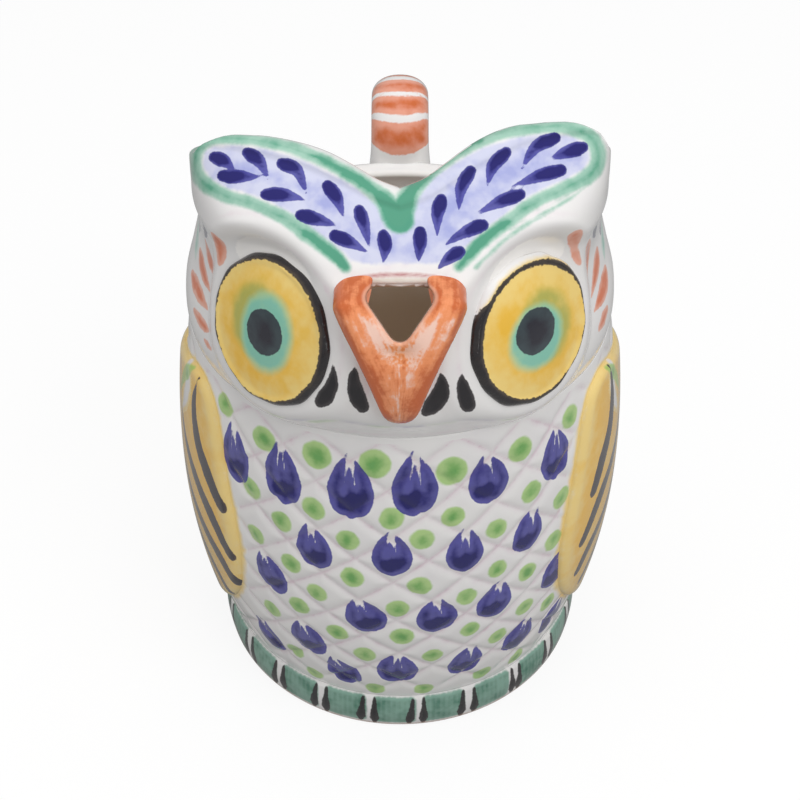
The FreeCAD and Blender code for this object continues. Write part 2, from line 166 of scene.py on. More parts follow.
def arc(centre, radius, first, last, steps):
    """Points on an arc between two angles, the first one left out."""
    angles = np.linspace(first, last, steps + 1)[1:]
    return [(centre[0] + radius * math.cos(angle), centre[1] + radius * math.sin(angle)) for angle in angles]


def outline_field(points, outline):
    """Distance to a closed flat outline, positive inside."""
    best = np.full(len(points), 1e9)
    inside = np.zeros(len(points), bool)
    for start, end in zip(outline, np.roll(outline, -1, axis=0)):
        run = end - start
        offset = points - start
        share = np.clip(offset @ run / (run @ run), 0, 1)
        best = np.minimum(best, np.hypot(*(offset - share[:, None] * run).T))
        spans = (start[1] > points[:, 1]) != (end[1] > points[:, 1])
        cut = start[0] + (points[:, 1] - start[1]) * run[0] / (run[1] if run[1] else 1e-9)
        inside ^= spans & (points[:, 0] < cut)
    return np.where(inside, best, -best)


def blank(points, *names):
    """Fields with nothing painted yet, by name."""
    return {name: np.full(len(points), FAR) for name in names}


def brush(field, points, path, widths):
    """Adds a brush stroke to a field: a path of places and the half widths along it."""
    path = np.asarray(path, float)
    widths = np.interp(np.linspace(0, 1, len(path)), np.linspace(0, 1, len(widths)), widths)
    middle = path.mean(axis=0)
    reach = np.linalg.norm(path - middle, axis=1).max() + widths.max() - FAR
    near = np.flatnonzero(np.linalg.norm(points - middle, axis=1) < reach)
    local = points[near]
    best = field[near]
    for start, end, wide, narrow in zip(path[:-1], path[1:], widths[:-1], widths[1:]):
        run = end - start
        share = np.clip((local - start) @ run / max(run @ run, 1e-9), 0, 1)
        gap = np.linalg.norm(local - start - share[:, None] * run, axis=1)
        best = np.maximum(best, wide + (narrow - wide) * share - gap)
    field[near] = best


# The outer skin

def arc_of(start_radius, start_height, end_radius, end_height):
    """Centre radius and radius of an arc whose centre lies at the belly's height."""
    low = start_height - BELLY_HEIGHT
    high = end_height - BELLY_HEIGHT
    centre = (start_radius ** 2 - end_radius ** 2 + low ** 2 - high ** 2) / (start_radius - end_radius) / 2
    return centre, math.hypot(start_radius - centre, low)


LOWER_ARC = arc_of(BODY_FOOT_RADIUS, FOOT_HEIGHT, BELLY_RADIUS, BELLY_HEIGHT)
UPPER_ARC = arc_of(BELLY_RADIUS, BELLY_HEIGHT, NECK_RADIUS, NECK_HEIGHT)


def body_radius(height):
    """Radius of the turned body."""
    height = np.clip(height, FOOT_HEIGHT, NECK_HEIGHT)
    lower = height < BELLY_HEIGHT
    centre = np.where(lower, LOWER_ARC[0], UPPER_ARC[0])
    radius = np.where(lower, LOWER_ARC[1], UPPER_ARC[1])
    return centre + np.sqrt(radius ** 2 - (height - BELLY_HEIGHT) ** 2)


def head_radius(bearing, height, hollow=False):
    """How far the head's outer or inner surface lies from the axis."""
    share = (height - NECK_HEIGHT) / HEAD_HEIGHT
    front, side, rear, power, wall = (through(HEAD_LEVELS, share, column) for column in range(1, 6))
    inset = wall * WALL * hollow
    front = front * NECK_RADIUS - inset
    side = side * NECK_RADIUS - np.minimum(inset, WALL)
    rear = rear * NECK_RADIUS - np.minimum(inset, WALL)
    facing = np.cos(bearing) > 0
    power = np.where(facing, power, 2.0)
    along = np.abs(np.cos(bearing)) / np.where(facing, front, rear)
    across = np.abs(np.sin(bearing)) / side
    return (across ** power + along ** power) ** (-1 / power)


def bearing_of(places):
    return np.arctan2(places[..., 0], -places[..., 1])


def radius_of(places):
    return np.hypot(places[..., 0], places[..., 1])


def at(bearing, height, radius):
    """Places at a bearing, height and radius."""
    return np.stack(np.broadcast_arrays(radius * np.sin(bearing), -radius * np.cos(bearing), height), axis=-1)


def push_out(places, amount):
    """Places moved away from the axis."""
    return places + at(bearing_of(places), 0.0, 1.0) * amount[:, None]


def skin(bearing, height):
    """Places on the outer skin of body and head."""
    bearing = np.asarray(bearing, float)
    height = np.asarray(height, float)
    head = head_radius(bearing, np.maximum(height, NECK_HEIGHT))
    return at(bearing, height, np.where(height > NECK_HEIGHT, head, body_radius(height)))


def marks(table, steps=6):
    """Places on the skin along a smooth line of (bearing in degrees, height) points."""
    line = smooth_line(table, steps=steps)
    return skin(np.radians(line[:, 0]), line[:, 1])


RIM_SEARCH_STEPS = 640


def rim_height(bearing):
    """Height at which the skin meets the rim; the right ear tuft stands a little higher than the left."""
    heights = np.linspace(NECK_HEIGHT, HEAD_TOP, RIM_SEARCH_STEPS)[:, None]
    places = skin(*np.broadcast_arrays(bearing, heights))
    across = places[..., 0] / NECK_RADIUS
    higher = RIGHT_TUFT_RISE * smoothstep(across, 0.08, 0.50) * (1 - smoothstep(across, 0.78, 0.96))
    low = NECK_HEIGHT + HEAD_HEIGHT - NOTCH_DROP
    crest = low + NOTCH_DROP * through(CREST, np.abs(across)) + higher
    rear = NECK_HEIGHT + REAR_RIM_RISE
    sweep = rear + (HEAD_HEIGHT - REAR_RIM_RISE + higher) * through(RIM, places[..., 1] / NECK_RADIUS)
    above = heights - np.minimum(crest, sweep)
    first = np.argmax(above > 0, axis=0)
    first = np.where(above.max(axis=0) > 0, first, RIM_SEARCH_STEPS - 1)
    first = np.maximum(first, 1)
    columns = np.arange(len(bearing))
    before = above[first - 1, columns]
    after = above[first, columns]
    share = np.clip(before / np.where(before == after, 1e-9, before - after), 0, 1)
    return heights[first - 1, 0] + share * (heights[1, 0] - heights[0, 0])


def in_picture(places):
    """Where places show in the photograph, in pixels over PIXELS_PER_MM, and their ways to the camera."""
    pitch = math.radians(CAMERA_PITCH)
    offset = places - np.array(CAMERA_PLACE) / MM
    depth = offset @ np.array((0, math.cos(pitch), -math.sin(pitch)))
    rise = offset @ np.array((0, math.sin(pitch), math.cos(pitch)))
    focal = PICTURE_WIDTH * CAMERA_LENS / SENSOR_WIDTH
    spots = np.stack((offset[:, 0], -rise), axis=1) / depth[:, None] * focal + PICTURE_WIDTH / 2
    return spots / PIXELS_PER_MM, -offset / np.linalg.norm(offset, axis=1)[:, None]


def drawn(points, steps=5):
    """A smooth line through pixels of the photograph, over PIXELS_PER_MM."""
    return smooth_line(points, steps=steps) / PIXELS_PER_MM


EYE_SEAT_SHARE = 0.7
BEAK_SEAT_SHARE = 0.3


def seated(places, share):
    """Places of a piece set into the head's wall, none deeper in it than a share of its thickness."""
    bearing = bearing_of(places)
    height = np.clip(places[..., 2], NECK_HEIGHT, NECK_HEIGHT + HEAD_HEIGHT)
    outer = head_radius(bearing, height)
    deepest = outer + (head_radius(bearing, height, hollow=True) - outer) * share
    push = np.maximum(deepest / radius_of(places), 1)
    return places * np.stack((push, push, np.ones_like(push)), axis=-1)


# Meshes

def grid_faces(rows, columns, wrap_rows=False):
    """Quads of a grid whose columns close round."""
    row = np.arange(rows if wrap_rows else rows - 1)[:, None] * columns
    next_row = (row + columns) % (rows * columns)
    column = np.arange(columns)[None, :]
    next_column = (column + 1) % columns
    corners = (row + column, row + next_column, next_row + next_column, next_row + column)
    return np.stack([corner.ravel() for corner in corners], axis=1).tolist()


def capped_faces(rows, columns):
    """Faces of a closed tube: a grid with a lid on its first and last ring."""
    last = (rows - 1) * columns
    return [*grid_faces(rows, columns), list(range(columns)), list(range(last, last + columns))]


def closed_object(name, places, faces):
    """An object from places in millimetres, whose faces all look outwards."""
    mesh = bpy.data.meshes.new(name)
    mesh.from_pydata((np.asarray(places) * MM).tolist(), [], faces)
    work = bmesh.new()
    work.from_mesh(mesh)
    bmesh.ops.recalc_face_normals(work, faces=work.faces)
    work.to_mesh(mesh)
    work.free()
    closed = bpy.data.objects.new(name, mesh)
    bpy.context.scene.collection.objects.link(closed)
    return closed


def dress(piece, slot, *nodes):
    """Makes an object a smooth piece that stands for CAD nodes."""
    piece.data.shade_smooth()
    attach(piece, "root")
    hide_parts(*nodes)


def make_piece(name, places, faces, *nodes):
    """A smooth piece of glazed clay from places in millimetres, which stands for CAD nodes."""
    piece = closed_object(name, places, faces)
    dress(piece, "glazed_clay", *nodes)
    return piece


def places_of(piece):
    """A piece's vertices in millimetres."""
    flat = np.empty(len(piece.data.vertices) * 3)
    piece.data.vertices.foreach_get("co", flat)
    return flat.reshape(-1, 3) / MM


def store(piece, name, values):
    """Keeps a number or a place for each vertex."""
    kind = "FLOAT" if values.ndim == 1 else "FLOAT_VECTOR"
    layer = piece.data.attributes.new(name, kind, "POINT")
    layer.data.foreach_set("value" if values.ndim == 1 else "vector", values.astype(np.float32).ravel())


def store_where(piece, mask, fields):
    """Keeps fields of paint for a piece, only where the mask allows it."""
    for name, field in fields.items():
        store(piece, name, np.where(mask, field, FAR))


# Glaze

GROUND = (0.86, 0.845, 0.83)
PALE_GROUND_SHARES = (0.975, 0.97, 0.985)
COARSE_SPOT = 9.0
MIDDLE_SPOT = 2.6
FINE_SPOT = 0.55
GLAZE_ROUGHNESS = 0.12
BARE_ROUGHNESS = 0.42
CLAY_IOR = 1.5
COAT = 0.35
COAT_ROUGHNESS = 0.04
GLAZE_BUMP = 0.6
GROUND_WAVE = 0.05
POOL_EDGE = 0.9


class Nodes:
    """Short ways to add nodes to a material."""

    def __init__(self, name):
        self.material = bpy.data.materials.new(name)
        self.material.use_nodes = True
        self.tree = self.material.node_tree
        self.tree.nodes.clear()
        self.where = self.add("ShaderNodeTexCoord").outputs["Object"]

    def add(self, kind, **settings):
        node = self.tree.nodes.new(kind)
        for key, value in settings.items():
            setattr(node, key, value)
        return node

    def put(self, node, **values):
        """Sets or links a node's inputs; their names have _ for a space."""
        for name, value in values.items():
            socket = node.inputs[name.replace("_", " ")]
            if isinstance(value, bpy.types.NodeSocket):
                self.tree.links.new(value, socket)
            elif socket.type == "RGBA":
                socket.default_value = (*value, 1)
            else:
                socket.default_value = value
        return node

    def maths(self, operation, first, second):
        node = self.add("ShaderNodeMath", operation=operation)
        for socket, value in zip(node.inputs, (first, second)):
            if isinstance(value, bpy.types.NodeSocket):
                self.tree.links.new(value, socket)
            else:
                socket.default_value = value
        return node.outputs[0]

    def times(self, first, second):
        return self.maths("MULTIPLY", first, second)

    def total(self, value, *others):
        for other in others:
            value = self.maths("ADD", value, other)
        return value

    def ramp(self, value, low, high, to_low=0.0, to_high=1.0):
        node = self.add("ShaderNodeMapRange", interpolation_type="SMOOTHSTEP")
        self.put(node, Value=value, From_Min=low, From_Max=high, To_Min=to_low, To_Max=to_high)
        return node.outputs[0]

    def mix(self, share, first, second):
        node = self.add("ShaderNodeMix", data_type="RGBA")
        self.put(node, Factor=share)
        return self.put(node, A=first, B=second).outputs["Result"]

    def spots(self, where, scale, detail):
        node = self.add("ShaderNodeTexNoise")
        return self.put(node, Vector=where, Scale=scale, Detail=detail).outputs["Fac"]

    def noise(self, size, detail):
        """Soft noise round 0 whose spots are about that size in millimetres."""
        return self.maths("SUBTRACT", self.spots(self.where, 1 / (size * MM), detail), 0.5)

    def field(self, name):
        return self.add("ShaderNodeAttribute", attribute_name=name).outputs["Fac"]

    def surface(self, shader):
        self.put(self.add("ShaderNodeOutputMaterial"), Surface=shader)
        return self.material

    def glossy_clay(self, colour, height, bumpiness, roughness, coat_roughness):
        """The material of glazed clay in that colour, with a bump from a height in millimetres."""
        bump = self.put(self.add("ShaderNodeBump"), Strength=bumpiness, Distance=MM, Height=height)
        shader = self.add("ShaderNodeBsdfPrincipled")
        self.put(shader, Base_Color=colour, Normal=bump.outputs["Normal"], Roughness=roughness, IOR=CLAY_IOR,
                 Coat_Weight=COAT, Coat_Roughness=coat_roughness)
        return self.surface(shader.outputs["BSDF"])


# What a layer of paint has unless it says otherwise: wobble and grain of its edge and how soft that is;
# the depth at which the paint is thick, and how much its thickness is mottled and drifts; a field where it
# pools; its least and greatest cover; and its raised height with the roughness of its crust.
PLAIN_LAYER = dict(wobble=0.5, grain=0.25, soft=0.12, deep=1.6, mottle=1.4, drift=0.8, pool=None,
                   cover=(0.9, 1.0), raised=0.0, crust=0.0)


def glaze(name, layers, ground=GROUND, roughness=GLAZE_ROUGHNESS, tint=None):
    """White tin glaze with layers of paint, each with a field and a thin and thick colour."""
    n = Nodes(name)
    coarse = n.noise(COARSE_SPOT, 3.0)
    middle = n.noise(MIDDLE_SPOT, 3.0)
    fine = n.noise(FINE_SPOT, 2.0)
    colour = n.mix(n.ramp(coarse, -0.2, 0.25), ground, tuple(np.multiply(ground, PALE_GROUND_SHARES)))
    height = n.times(coarse, GROUND_WAVE)
    for own in layers:
        layer = {**PLAIN_LAYER, **own}
        distance = n.field(layer["field"])
        wobble = n.total(n.times(middle, layer["wobble"]), n.times(fine, layer["grain"]))
        mask = n.ramp(n.total(distance, wobble), -layer["soft"], layer["soft"])
        load = n.total(n.ramp(distance, 0.0, layer["deep"]), n.times(middle, layer["mottle"]),
                       n.times(coarse, layer["drift"]))
        if layer["pool"]:
            load = n.total(load, n.ramp(n.total(n.field(layer["pool"]), wobble), -POOL_EDGE, POOL_EDGE))
        load = n.maths("MAXIMUM", n.maths("MINIMUM", load, 1.0), 0.0)
        cover = n.times(mask, n.ramp(load, 0.0, 1.0, *layer["cover"]))
        colour = n.mix(cover, colour, n.mix(load, layer["thin"], layer["thick"]))
        if layer["raised"]:
            bumps = n.total(n.times(fine, layer["crust"]), layer["raised"])
            height = n.total(height, n.times(mask, bumps))
    if tint:
        colour = tint(n, colour, coarse)
    return n.glossy_clay(colour, height, GLAZE_BUMP, roughness, COAT_ROUGHNESS)


COBALT = dict(field="cobalt", pool="pool", thin=(0.045, 0.043, 0.33), thick=(0.012, 0.010, 0.14), soft=0.10,
              wobble=0.35, grain=0.2, deep=2.2, mottle=1.5, drift=0.5, cover=(0.91, 1.0), raised=0.02)
BUD_COBALT = dict(COBALT, thin=(0.018, 0.015, 0.31), thick=(0.004, 0.003, 0.12))
BROW_COBALT = dict(COBALT, deep=1.3)
# Mauve lines in the creases and valleys of the relief: glaze pooled there, and painted shade.
MAUVE_POOLING_AND_SHADE = dict(field="mauve", thin=(0.76, 0.60, 0.68), thick=(0.66, 0.45, 0.54), soft=0.8, wobble=1.3, deep=1.0,
             cover=(0.25, 0.75))
ORANGE = dict(field="orange", thin=(0.86, 0.31, 0.17), thick=(0.72, 0.16, 0.045), soft=0.14, wobble=0.4,
              deep=1.4, mottle=1.8, cover=(0.74, 0.97))
BAND_ORANGE = dict(ORANGE, thin=(0.80, 0.25, 0.12), thick=(0.62, 0.13, 0.025), mottle=1.6, drift=1.8,
                   deep=1.7, cover=(0.82, 0.98))
BLACK = dict(field="black", thin=(0.024, 0.018, 0.021), thick=(0.011, 0.009, 0.012), soft=0.10, wobble=0.3,
             grain=0.3, deep=0.8, cover=(0.97, 1.0), raised=0.03, crust=0.02)
VIOLET = dict(BLACK, field="violet", thin=(0.06, 0.05, 0.16), thick=(0.03, 0.025, 0.08), raised=0.0)
OUTLINE_BLACK = dict(BLACK, thin=(0.045, 0.036, 0.036), thick=(0.018, 0.015, 0.017), wobble=0.9, grain=0.7,
                     raised=0.10, crust=0.16)
PUPIL_BLACK = dict(BLACK, field="pupil", thin=(0.038, 0.048, 0.062), thick=(0.020, 0.020, 0.030), wobble=0.35,
                   grain=0.35, deep=3.4, mottle=1.6)
STRIPE_BLACK = dict(BLACK, thin=(0.060, 0.040, 0.052), thick=(0.028, 0.020, 0.026), wobble=0.5)
FOOT_BLACK = dict(BLACK, thin=(0.030, 0.024, 0.026))
YELLOW = dict(field="yellow", thin=(0.94, 0.68, 0.19), thick=(0.90, 0.53, 0.075), soft=0.5, wobble=0.9,
              deep=4.0, mottle=1.1, drift=1.6, cover=(0.88, 0.99))
EYE_YELLOW = dict(field="yellow", thin=(0.93, 0.66, 0.16), thick=(0.89, 0.52, 0.05), soft=0.5, wobble=1.0,
                  deep=9.0, mottle=1.6, drift=1.8, cover=(0.92, 0.99))
EYE_HAZE = dict(field="haze", thin=(0.78, 0.56, 0.10), thick=(0.40, 0.44, 0.11), soft=1.3, wobble=1.0,
                deep=3.2, mottle=0.8, cover=(0.1, 0.85))
EYE_AQUA = dict(field="aqua", thin=(0.36, 0.66, 0.42), thick=(0.23, 0.56, 0.44), soft=0.75, wobble=0.7,
                deep=1.6, mottle=1.2, cover=(0.75, 0.97))
AQUA = dict(field="aqua", thin=(0.50, 0.74, 0.64), thick=(0.26, 0.56, 0.46), soft=0.25, wobble=0.4, deep=2.0,
            cover=(0.6, 0.9))
GREEN = dict(field="green", thin=(0.36, 0.62, 0.12), thick=(0.13, 0.39, 0.08), soft=0.30, wobble=0.8,
             grain=0.1, deep=2.6, mottle=1.6, drift=0.6, cover=(0.80, 0.96))
TEAL = dict(field="teal", pool="teal_pool", thin=(0.22, 0.52, 0.38), thick=(0.065, 0.32, 0.20), soft=0.42,
            wobble=0.7, deep=2.2, mottle=1.4, drift=1.1, cover=(0.78, 0.97))
FOOT_TEAL = dict(TEAL, thin=(0.085, 0.31, 0.21), thick=(0.018, 0.135, 0.078), soft=0.3, wobble=0.5, drift=2.0,
                 cover=(0.8, 0.98), pool=None)
LAVENDER = dict(field="lavender", thin=(0.54, 0.57, 0.80), thick=(0.36, 0.39, 0.70), soft=0.5, wobble=0.9,
                deep=7.0, mottle=1.9, drift=1.6, cover=(0.72, 0.97))
# Painted shade: a buff band under the brow's overhang, just above the spout hole.
SHADE_BAND_LAYER = dict(field="overhang_shade", thin=(0.70, 0.61, 0.48), thick=(0.62, 0.52, 0.38), soft=0.35, wobble=0.3, deep=1.0,
            cover=(0.5, 0.8))
PINK = dict(field="pink", thin=(0.62, 0.34, 0.33), thick=(0.48, 0.20, 0.20), soft=0.25, wobble=0.3, deep=0.5,
            cover=(0.6, 0.9))
BARE = dict(field="bare", thin=(0.66, 0.40, 0.29), thick=(0.55, 0.29, 0.18), soft=0.45, wobble=0.9, deep=1.5,
            cover=(0.45, 0.9))
FLOOR_CLAY = (0.40, 0.30, 0.22)
# Painted shade inside the jug: a warm dark colour low down that fades to the plain inner glaze near the rim,
# and dark brown painted shade for the spout hole's cut wall.
INNER_LOW_SHADE = (0.62, 0.48, 0.35)
INNER_HIGH = (0.97, 0.945, 0.915)
INNER_LOW_UP_TO = 0.050
INNER_HIGH_FROM = 0.074
BORE_SHADE_COLOUR = (0.30, 0.21, 0.14)


def painted_inside_shade(n, colour, coarse):
    """Painted shade inside the jug: the inner glaze warmer and darker lower down, and the spout hole's cut
    wall painted dark brown.
    """
    height = n.put(n.add("ShaderNodeSeparateXYZ"), Vector=n.where).outputs["Z"]
    high = n.ramp(n.total(height, n.times(coarse, 0.01)), INNER_LOW_UP_TO, INNER_HIGH_FROM)
    inside = n.mix(n.field("bore"), n.mix(high, INNER_LOW_SHADE, INNER_HIGH), BORE_SHADE_COLOUR)
    return n.mix(n.field("inner"), colour, inside)


# Body: the turned lower wall with its moulded scales

COLUMNS = 540
OUTER_ROWS = 168
INNER_ROWS = 14
# Bearings in degrees and how close together the grid's columns lie there.
FINENESS = np.array((
    (-180, 0.8), (-128, 0.8), (-122, 0.6), (-84, 0.6), (-78, 1.3), (78, 1.3), (84, 0.6), (122, 0.6),
    (128, 0.8), (180, 0.8),
))
SCALES_ROUND = 20
SCALE_PITCH = 11.0
SCALE_TOP = 77.0
SCALE_DRIFT = 0.065
SCALE_OFFSET = -3.5
SCALE_DEPTH = 0.48
SCALE_SLOPE_SHARE = 0.30
SCALE_ROUNDNESS = 2.2
SCALE_WIDTH = 8.6
SCALES_FROM = 13.5
SCALES_TO = 82.0
VALLEY_LINE = 0.55
SKIN_DEPTH = 1.6


def spread_bearings():
    """Bearings of the grid's columns, closest together on the face."""
    spots = np.linspace(-180, 180, 3601)
    gathered = np.cumsum(np.interp(spots, *FINENESS.T))
    shares = (gathered - gathered[0]) / (gathered[-1] - gathered[0])
    return np.radians(np.interp(np.arange(COLUMNS) / COLUMNS, shares, spots))


bearings = spread_bearings()


def scale_spot(row, place):
    """Bearing in degrees and height of the middle of a scale."""
    height = SCALE_TOP - row * SCALE_PITCH / 2
    bearing = SCALE_OFFSET + (place + (row % 2) / 2) * 360 / SCALES_ROUND + (SCALE_TOP - height) * SCALE_DRIFT
    return bearing, height


def scale_grid(places):
    """How far each place lies from the valleys between scales each way, in shares of a scale."""
    height = places[:, 2]
    turned = np.degrees(bearing_of(places)) - SCALE_OFFSET - (SCALE_TOP - height) * SCALE_DRIFT
    across = turned * SCALES_ROUND / 360
    down = (SCALE_TOP - height) / SCALE_PITCH
    first = across + down + 0.5
    second = across - down + 0.5
    return np.abs(first - np.round(first)), np.abs(second - np.round(second))


wing_points = WING * (BELLY_RADIUS, WING_HIGH - WING_LOW) + (0, WING_LOW)
wing_outline = smooth_line(wing_points, closed=True, steps=12)


def wing_field(places):
    """Distance to the edge of the nearer wing, positive on it."""
    return outline_field(places[:, 1:], wing_outline)


def body_relief(places):
    """Height of the moulded scales below the skin."""
    pillow = np.minimum(*scale_grid(places))
    rounded = 1 - (1 - np.clip(pillow / SCALE_SLOPE_SHARE, 0, 1)) ** SCALE_ROUNDNESS
    fade = smoothstep(places[:, 2], 11.0, 15.0) * (1 - smoothstep(places[:, 2], 78.5, 82.0))
    fade *= smoothstep(-wing_field(places), -1.5, 3.5)
    return -SCALE_DEPTH * (1 - rounded) * fade


outer_grid = skin(*np.meshgrid(bearings, np.linspace(FOOT_HEIGHT, NECK_HEIGHT, OUTER_ROWS))).reshape(-1, 3)
outer_grid = push_out(outer_grid, body_relief(outer_grid))
inner_bearings, inner_levels = np.meshgrid(bearings, np.linspace(NECK_HEIGHT, FOOT_HEIGHT, INNER_ROWS))
inner_grid = at(inner_bearings, inner_levels, body_radius(inner_levels) - WALL).reshape(-1, 3)
body = make_piece("body_wall", np.vstack((outer_grid, inner_grid)),
                  grid_faces(OUTER_ROWS + INNER_ROWS, COLUMNS, True), "body_shell")


rng = np.random.default_rng(11)


def place_on(bearing, height, across, up):
    """A place near a spot of the skin, moved across and up in millimetres."""
    radius = body_radius(height + up)
    turned = math.radians(bearing) + across / radius
    return at(turned, height + up, radius)


# A bud's petals: points across and up from its middle, and half widths.
PETALS = (
    (((0.0, -5.2), (-1.5, -4.0), (-2.5, -1.2), (-2.15, 2.0), (-1.35, 4.8), (-0.5, 7.2)),
     (1.6, 1.9, 1.7, 1.35, 0.75, 0.1)),
    (((0.0, -5.2), (1.6, -4.0), (2.6, -1.1), (2.15, 2.0), (1.4, 4.4), (0.75, 6.6)),
     (1.6, 1.9, 1.65, 1.3, 0.7, 0.1)),
    (((0.0, -4.5), (0.0, -1.2), (-0.1, 2.0), (-0.2, 5.4)), (2.2, 1.35, 0.72, 0.1)),
)
PETAL_TIP_POINTS = 8
# Buds on the breast: bearing, height, width and length as shares, and lean to the left in degrees.
BUDS = (
    (-45.8, 69.1, 0.84, 0.95, 8), (-30.3, 70.6, 0.92, 1.00, 6), (-12.2, 71.7, 1.02, 1.02, 2),
    (3.6, 73.0, 0.98, 1.00, -2), (22.1, 71.9, 0.92, 0.78, 0), (42.5, 70.6, 0.86, 0.86, -4),
    (-21.7, 56.0, 0.86, 0.80, 8), (-2.0, 57.2, 0.88, 0.80, 3), (16.0, 56.5, 0.86, 0.80, -2),
    (33.6, 56.0, 0.78, 0.80, -14), (-35.0, 43.9, 0.80, 0.80, 20), (-9.0, 39.7, 0.95, 0.74, 18),
    (9.4, 39.6, 0.96, 0.70, 2), (25.0, 40.3, 0.88, 0.76, -12), (44.6, 39.8, 0.80, 0.74, -16),
    (-41.2, 20.0, 0.78, 0.80, 24), (-26.0, 27.3, 0.92, 0.78, 10), (-16.7, 18.2, 0.84, 0.74, 18),
    (-0.8, 21.7, 1.00, 0.80, 0), (18.8, 21.6, 0.88, 0.76, -8), (35.6, 23.3, 0.86, 0.78, -18),
    (50.0, 20.5, 0.72, 0.72, -22),
)
# Dots on the breast: bearing, height and radius.
DOTS = (
    (-50.7, 78.0, 2.2), (-36.1, 76.4, 2.5), (-20.9, 77.4, 2.8), (-6.1, 77.6, 2.9), (12.7, 75.4, 2.9),
    (31.2, 75.8, 2.5), (48.3, 76.5, 2.2), (-39.9, 63.7, 2.3), (-21.5, 65.5, 2.3), (-2.1, 65.9, 2.3),
    (12.9, 65.2, 2.2), (34.0, 65.3, 2.2), (44.3, 59.3, 2.2), (-30.3, 59.5, 2.2), (-38.9, 52.6, 2.1),
    (-12.8, 59.7, 2.2), (5.3, 60.9, 2.2), (24.2, 59.9, 2.1), (42.2, 49.3, 2.2), (-28.1, 49.6, 2.1),
    (-11.7, 50.4, 2.3), (4.8, 48.9, 2.3), (24.9, 49.3, 2.0), (33.9, 44.7, 2.1), (-21.3, 43.9, 2.1),
    (16.7, 43.9, 2.0), (-36.3, 32.1, 2.1), (-26.7, 37.9, 2.2), (-0.5, 42.6, 2.3), (35.0, 33.5, 2.1),
    (44.6, 29.1, 2.1), (-16.5, 32.8, 2.2), (0.3, 33.8, 2.3), (18.4, 33.3, 2.0), (27.4, 27.4, 2.1),
    (-9.6, 26.7, 2.3), (8.8, 26.4, 2.1), (-31.6, 19.4, 2.0), (-26.7, 12.8, 1.9), (38.1, 13.0, 2.0),
    (25.5, 13.5, 2.0), (-7.5, 12.6, 2.0), (7.0, 12.4, 2.0),
)
BACK_BUD_ROWS = (1, 4, 7, 10)
BACK_DOT_ROWS = (0, 2, 3, 5, 6, 8, 9, 11)
BACK_BUD_WIDTH = 0.9
BACK_BUD_LENGTH = 0.82
BACK_DOT_RADIUS = 2.2
BREAST_EDGE = 56
BUD_REACH = 2.4
DOT_REACH = 1.2


def near_wing(bearing, height, reach):
    """Whether a mark of that reach would run onto a wing."""
    return wing_field(skin(math.radians(bearing), height)[None])[0] > -reach


def add_bud(fields, places, bearing, height, wide, tall, turn):
    """A cobalt bud of three petals, and where its paint pools."""
    jitter = rng.normal(0, 0.22, (3, 2))
    for (points, widths), shift in zip(PETALS, jitter):
        line = smooth_line(points, steps=5)
        line[-PETAL_TIP_POINTS:] += shift * np.linspace(0, 1, PETAL_TIP_POINTS)[:, None]
        across = line[:, 0] * wide * math.cos(turn) - line[:, 1] * tall * math.sin(turn)
        up = line[:, 1] * tall * math.cos(turn) + line[:, 0] * wide * math.sin(turn)
        brush(fields["cobalt"], places, place_on(bearing, height, across, up), np.array(widths) * wide)
    across = np.array((-0.7, 0.6)) + jitter[0, 0] + 3.0 * math.sin(turn)
    pooled = place_on(bearing, height, across, np.array((-3.2, -2.2)) * tall)
    brush(fields["pool"], places, pooled, np.array((1.6, 1.2)) * wide)


def add_dot(fields, places, bearing, height, size, turn):
    """A green dot, a little longer than wide."""
    lean = 0.35 * math.sin(math.radians(bearing)) + turn
    reach = np.array((-0.5, 0.0, 0.5))
    shift = 0.3 * rng.normal(0, 0.2)
    path = place_on(bearing, height, reach * math.sin(lean) + shift, reach * math.cos(lean))
    brush(fields["green"], places, path, np.array((0.90, 1.0, 0.86)) * size)


def paint_belly(places):
    """The breast's own buds and dots, and the same pattern on the moulded scales of the back."""
    fields = blank(places, "cobalt", "pool", "green")
    for bearing, height, wide, tall, lean in BUDS:
        add_bud(fields, places, bearing, height, wide, tall, math.radians(lean))
    for bearing, height, size in DOTS:
        add_dot(fields, places, bearing, height, size, rng.normal(0, 0.2))
    for row in BACK_BUD_ROWS + BACK_DOT_ROWS:
        for spot in range(SCALES_ROUND):
            bearing, height = scale_spot(row, spot)
            bearing = (bearing + 180) % 360 - 180 + rng.normal(0, 0.7)
            height += rng.normal(0, 0.35)
            bud = row in BACK_BUD_ROWS
            if abs(bearing) < BREAST_EDGE or near_wing(bearing, height, BUD_REACH if bud else DOT_REACH):
                continue
            if bud:
                tall = 1.0 if row == BACK_BUD_ROWS[0] else BACK_BUD_LENGTH
                add_bud(fields, places, bearing, height, BACK_BUD_WIDTH, tall, rng.normal(0, 0.12))
            else:
                add_dot(fields, places, bearing, height, BACK_DOT_RADIUS, rng.normal(0, 0.15))
    return fields


body_places = places_of(body)
belly = paint_belly(body_places)
wing_gap = wing_field(body_places)
in_scales = (body_places[:, 2] > SCALES_FROM) & (body_places[:, 2] < SCALES_TO) & (wing_gap < -1.0)
# Mauve lines along the valleys between the scales: glaze pooled there, and painted shade.
valley_gap = np.minimum(*scale_grid(body_places)) * SCALE_WIDTH
belly["mauve"] = np.where(in_scales, VALLEY_LINE - valley_gap, FAR)
belly["yellow"] = wing_gap + 0.5
outside = radius_of(body_places) > body_radius(body_places[:, 2]) - SKIN_DEPTH
store_where(body, outside, belly)
# The inside wall gets the painted inner shade, darker lower down.
store(body, "inner", np.where(outside, 0.0, 1.0))
store(body, "bore", np.zeros(len(body_places)))
body.data.materials.append(glaze("body_glaze", [MAUVE_POOLING_AND_SHADE, YELLOW, GREEN, BUD_COBALT], tint=painted_inside_shade))


# Head: face, brows, sockets, rim and inner wall

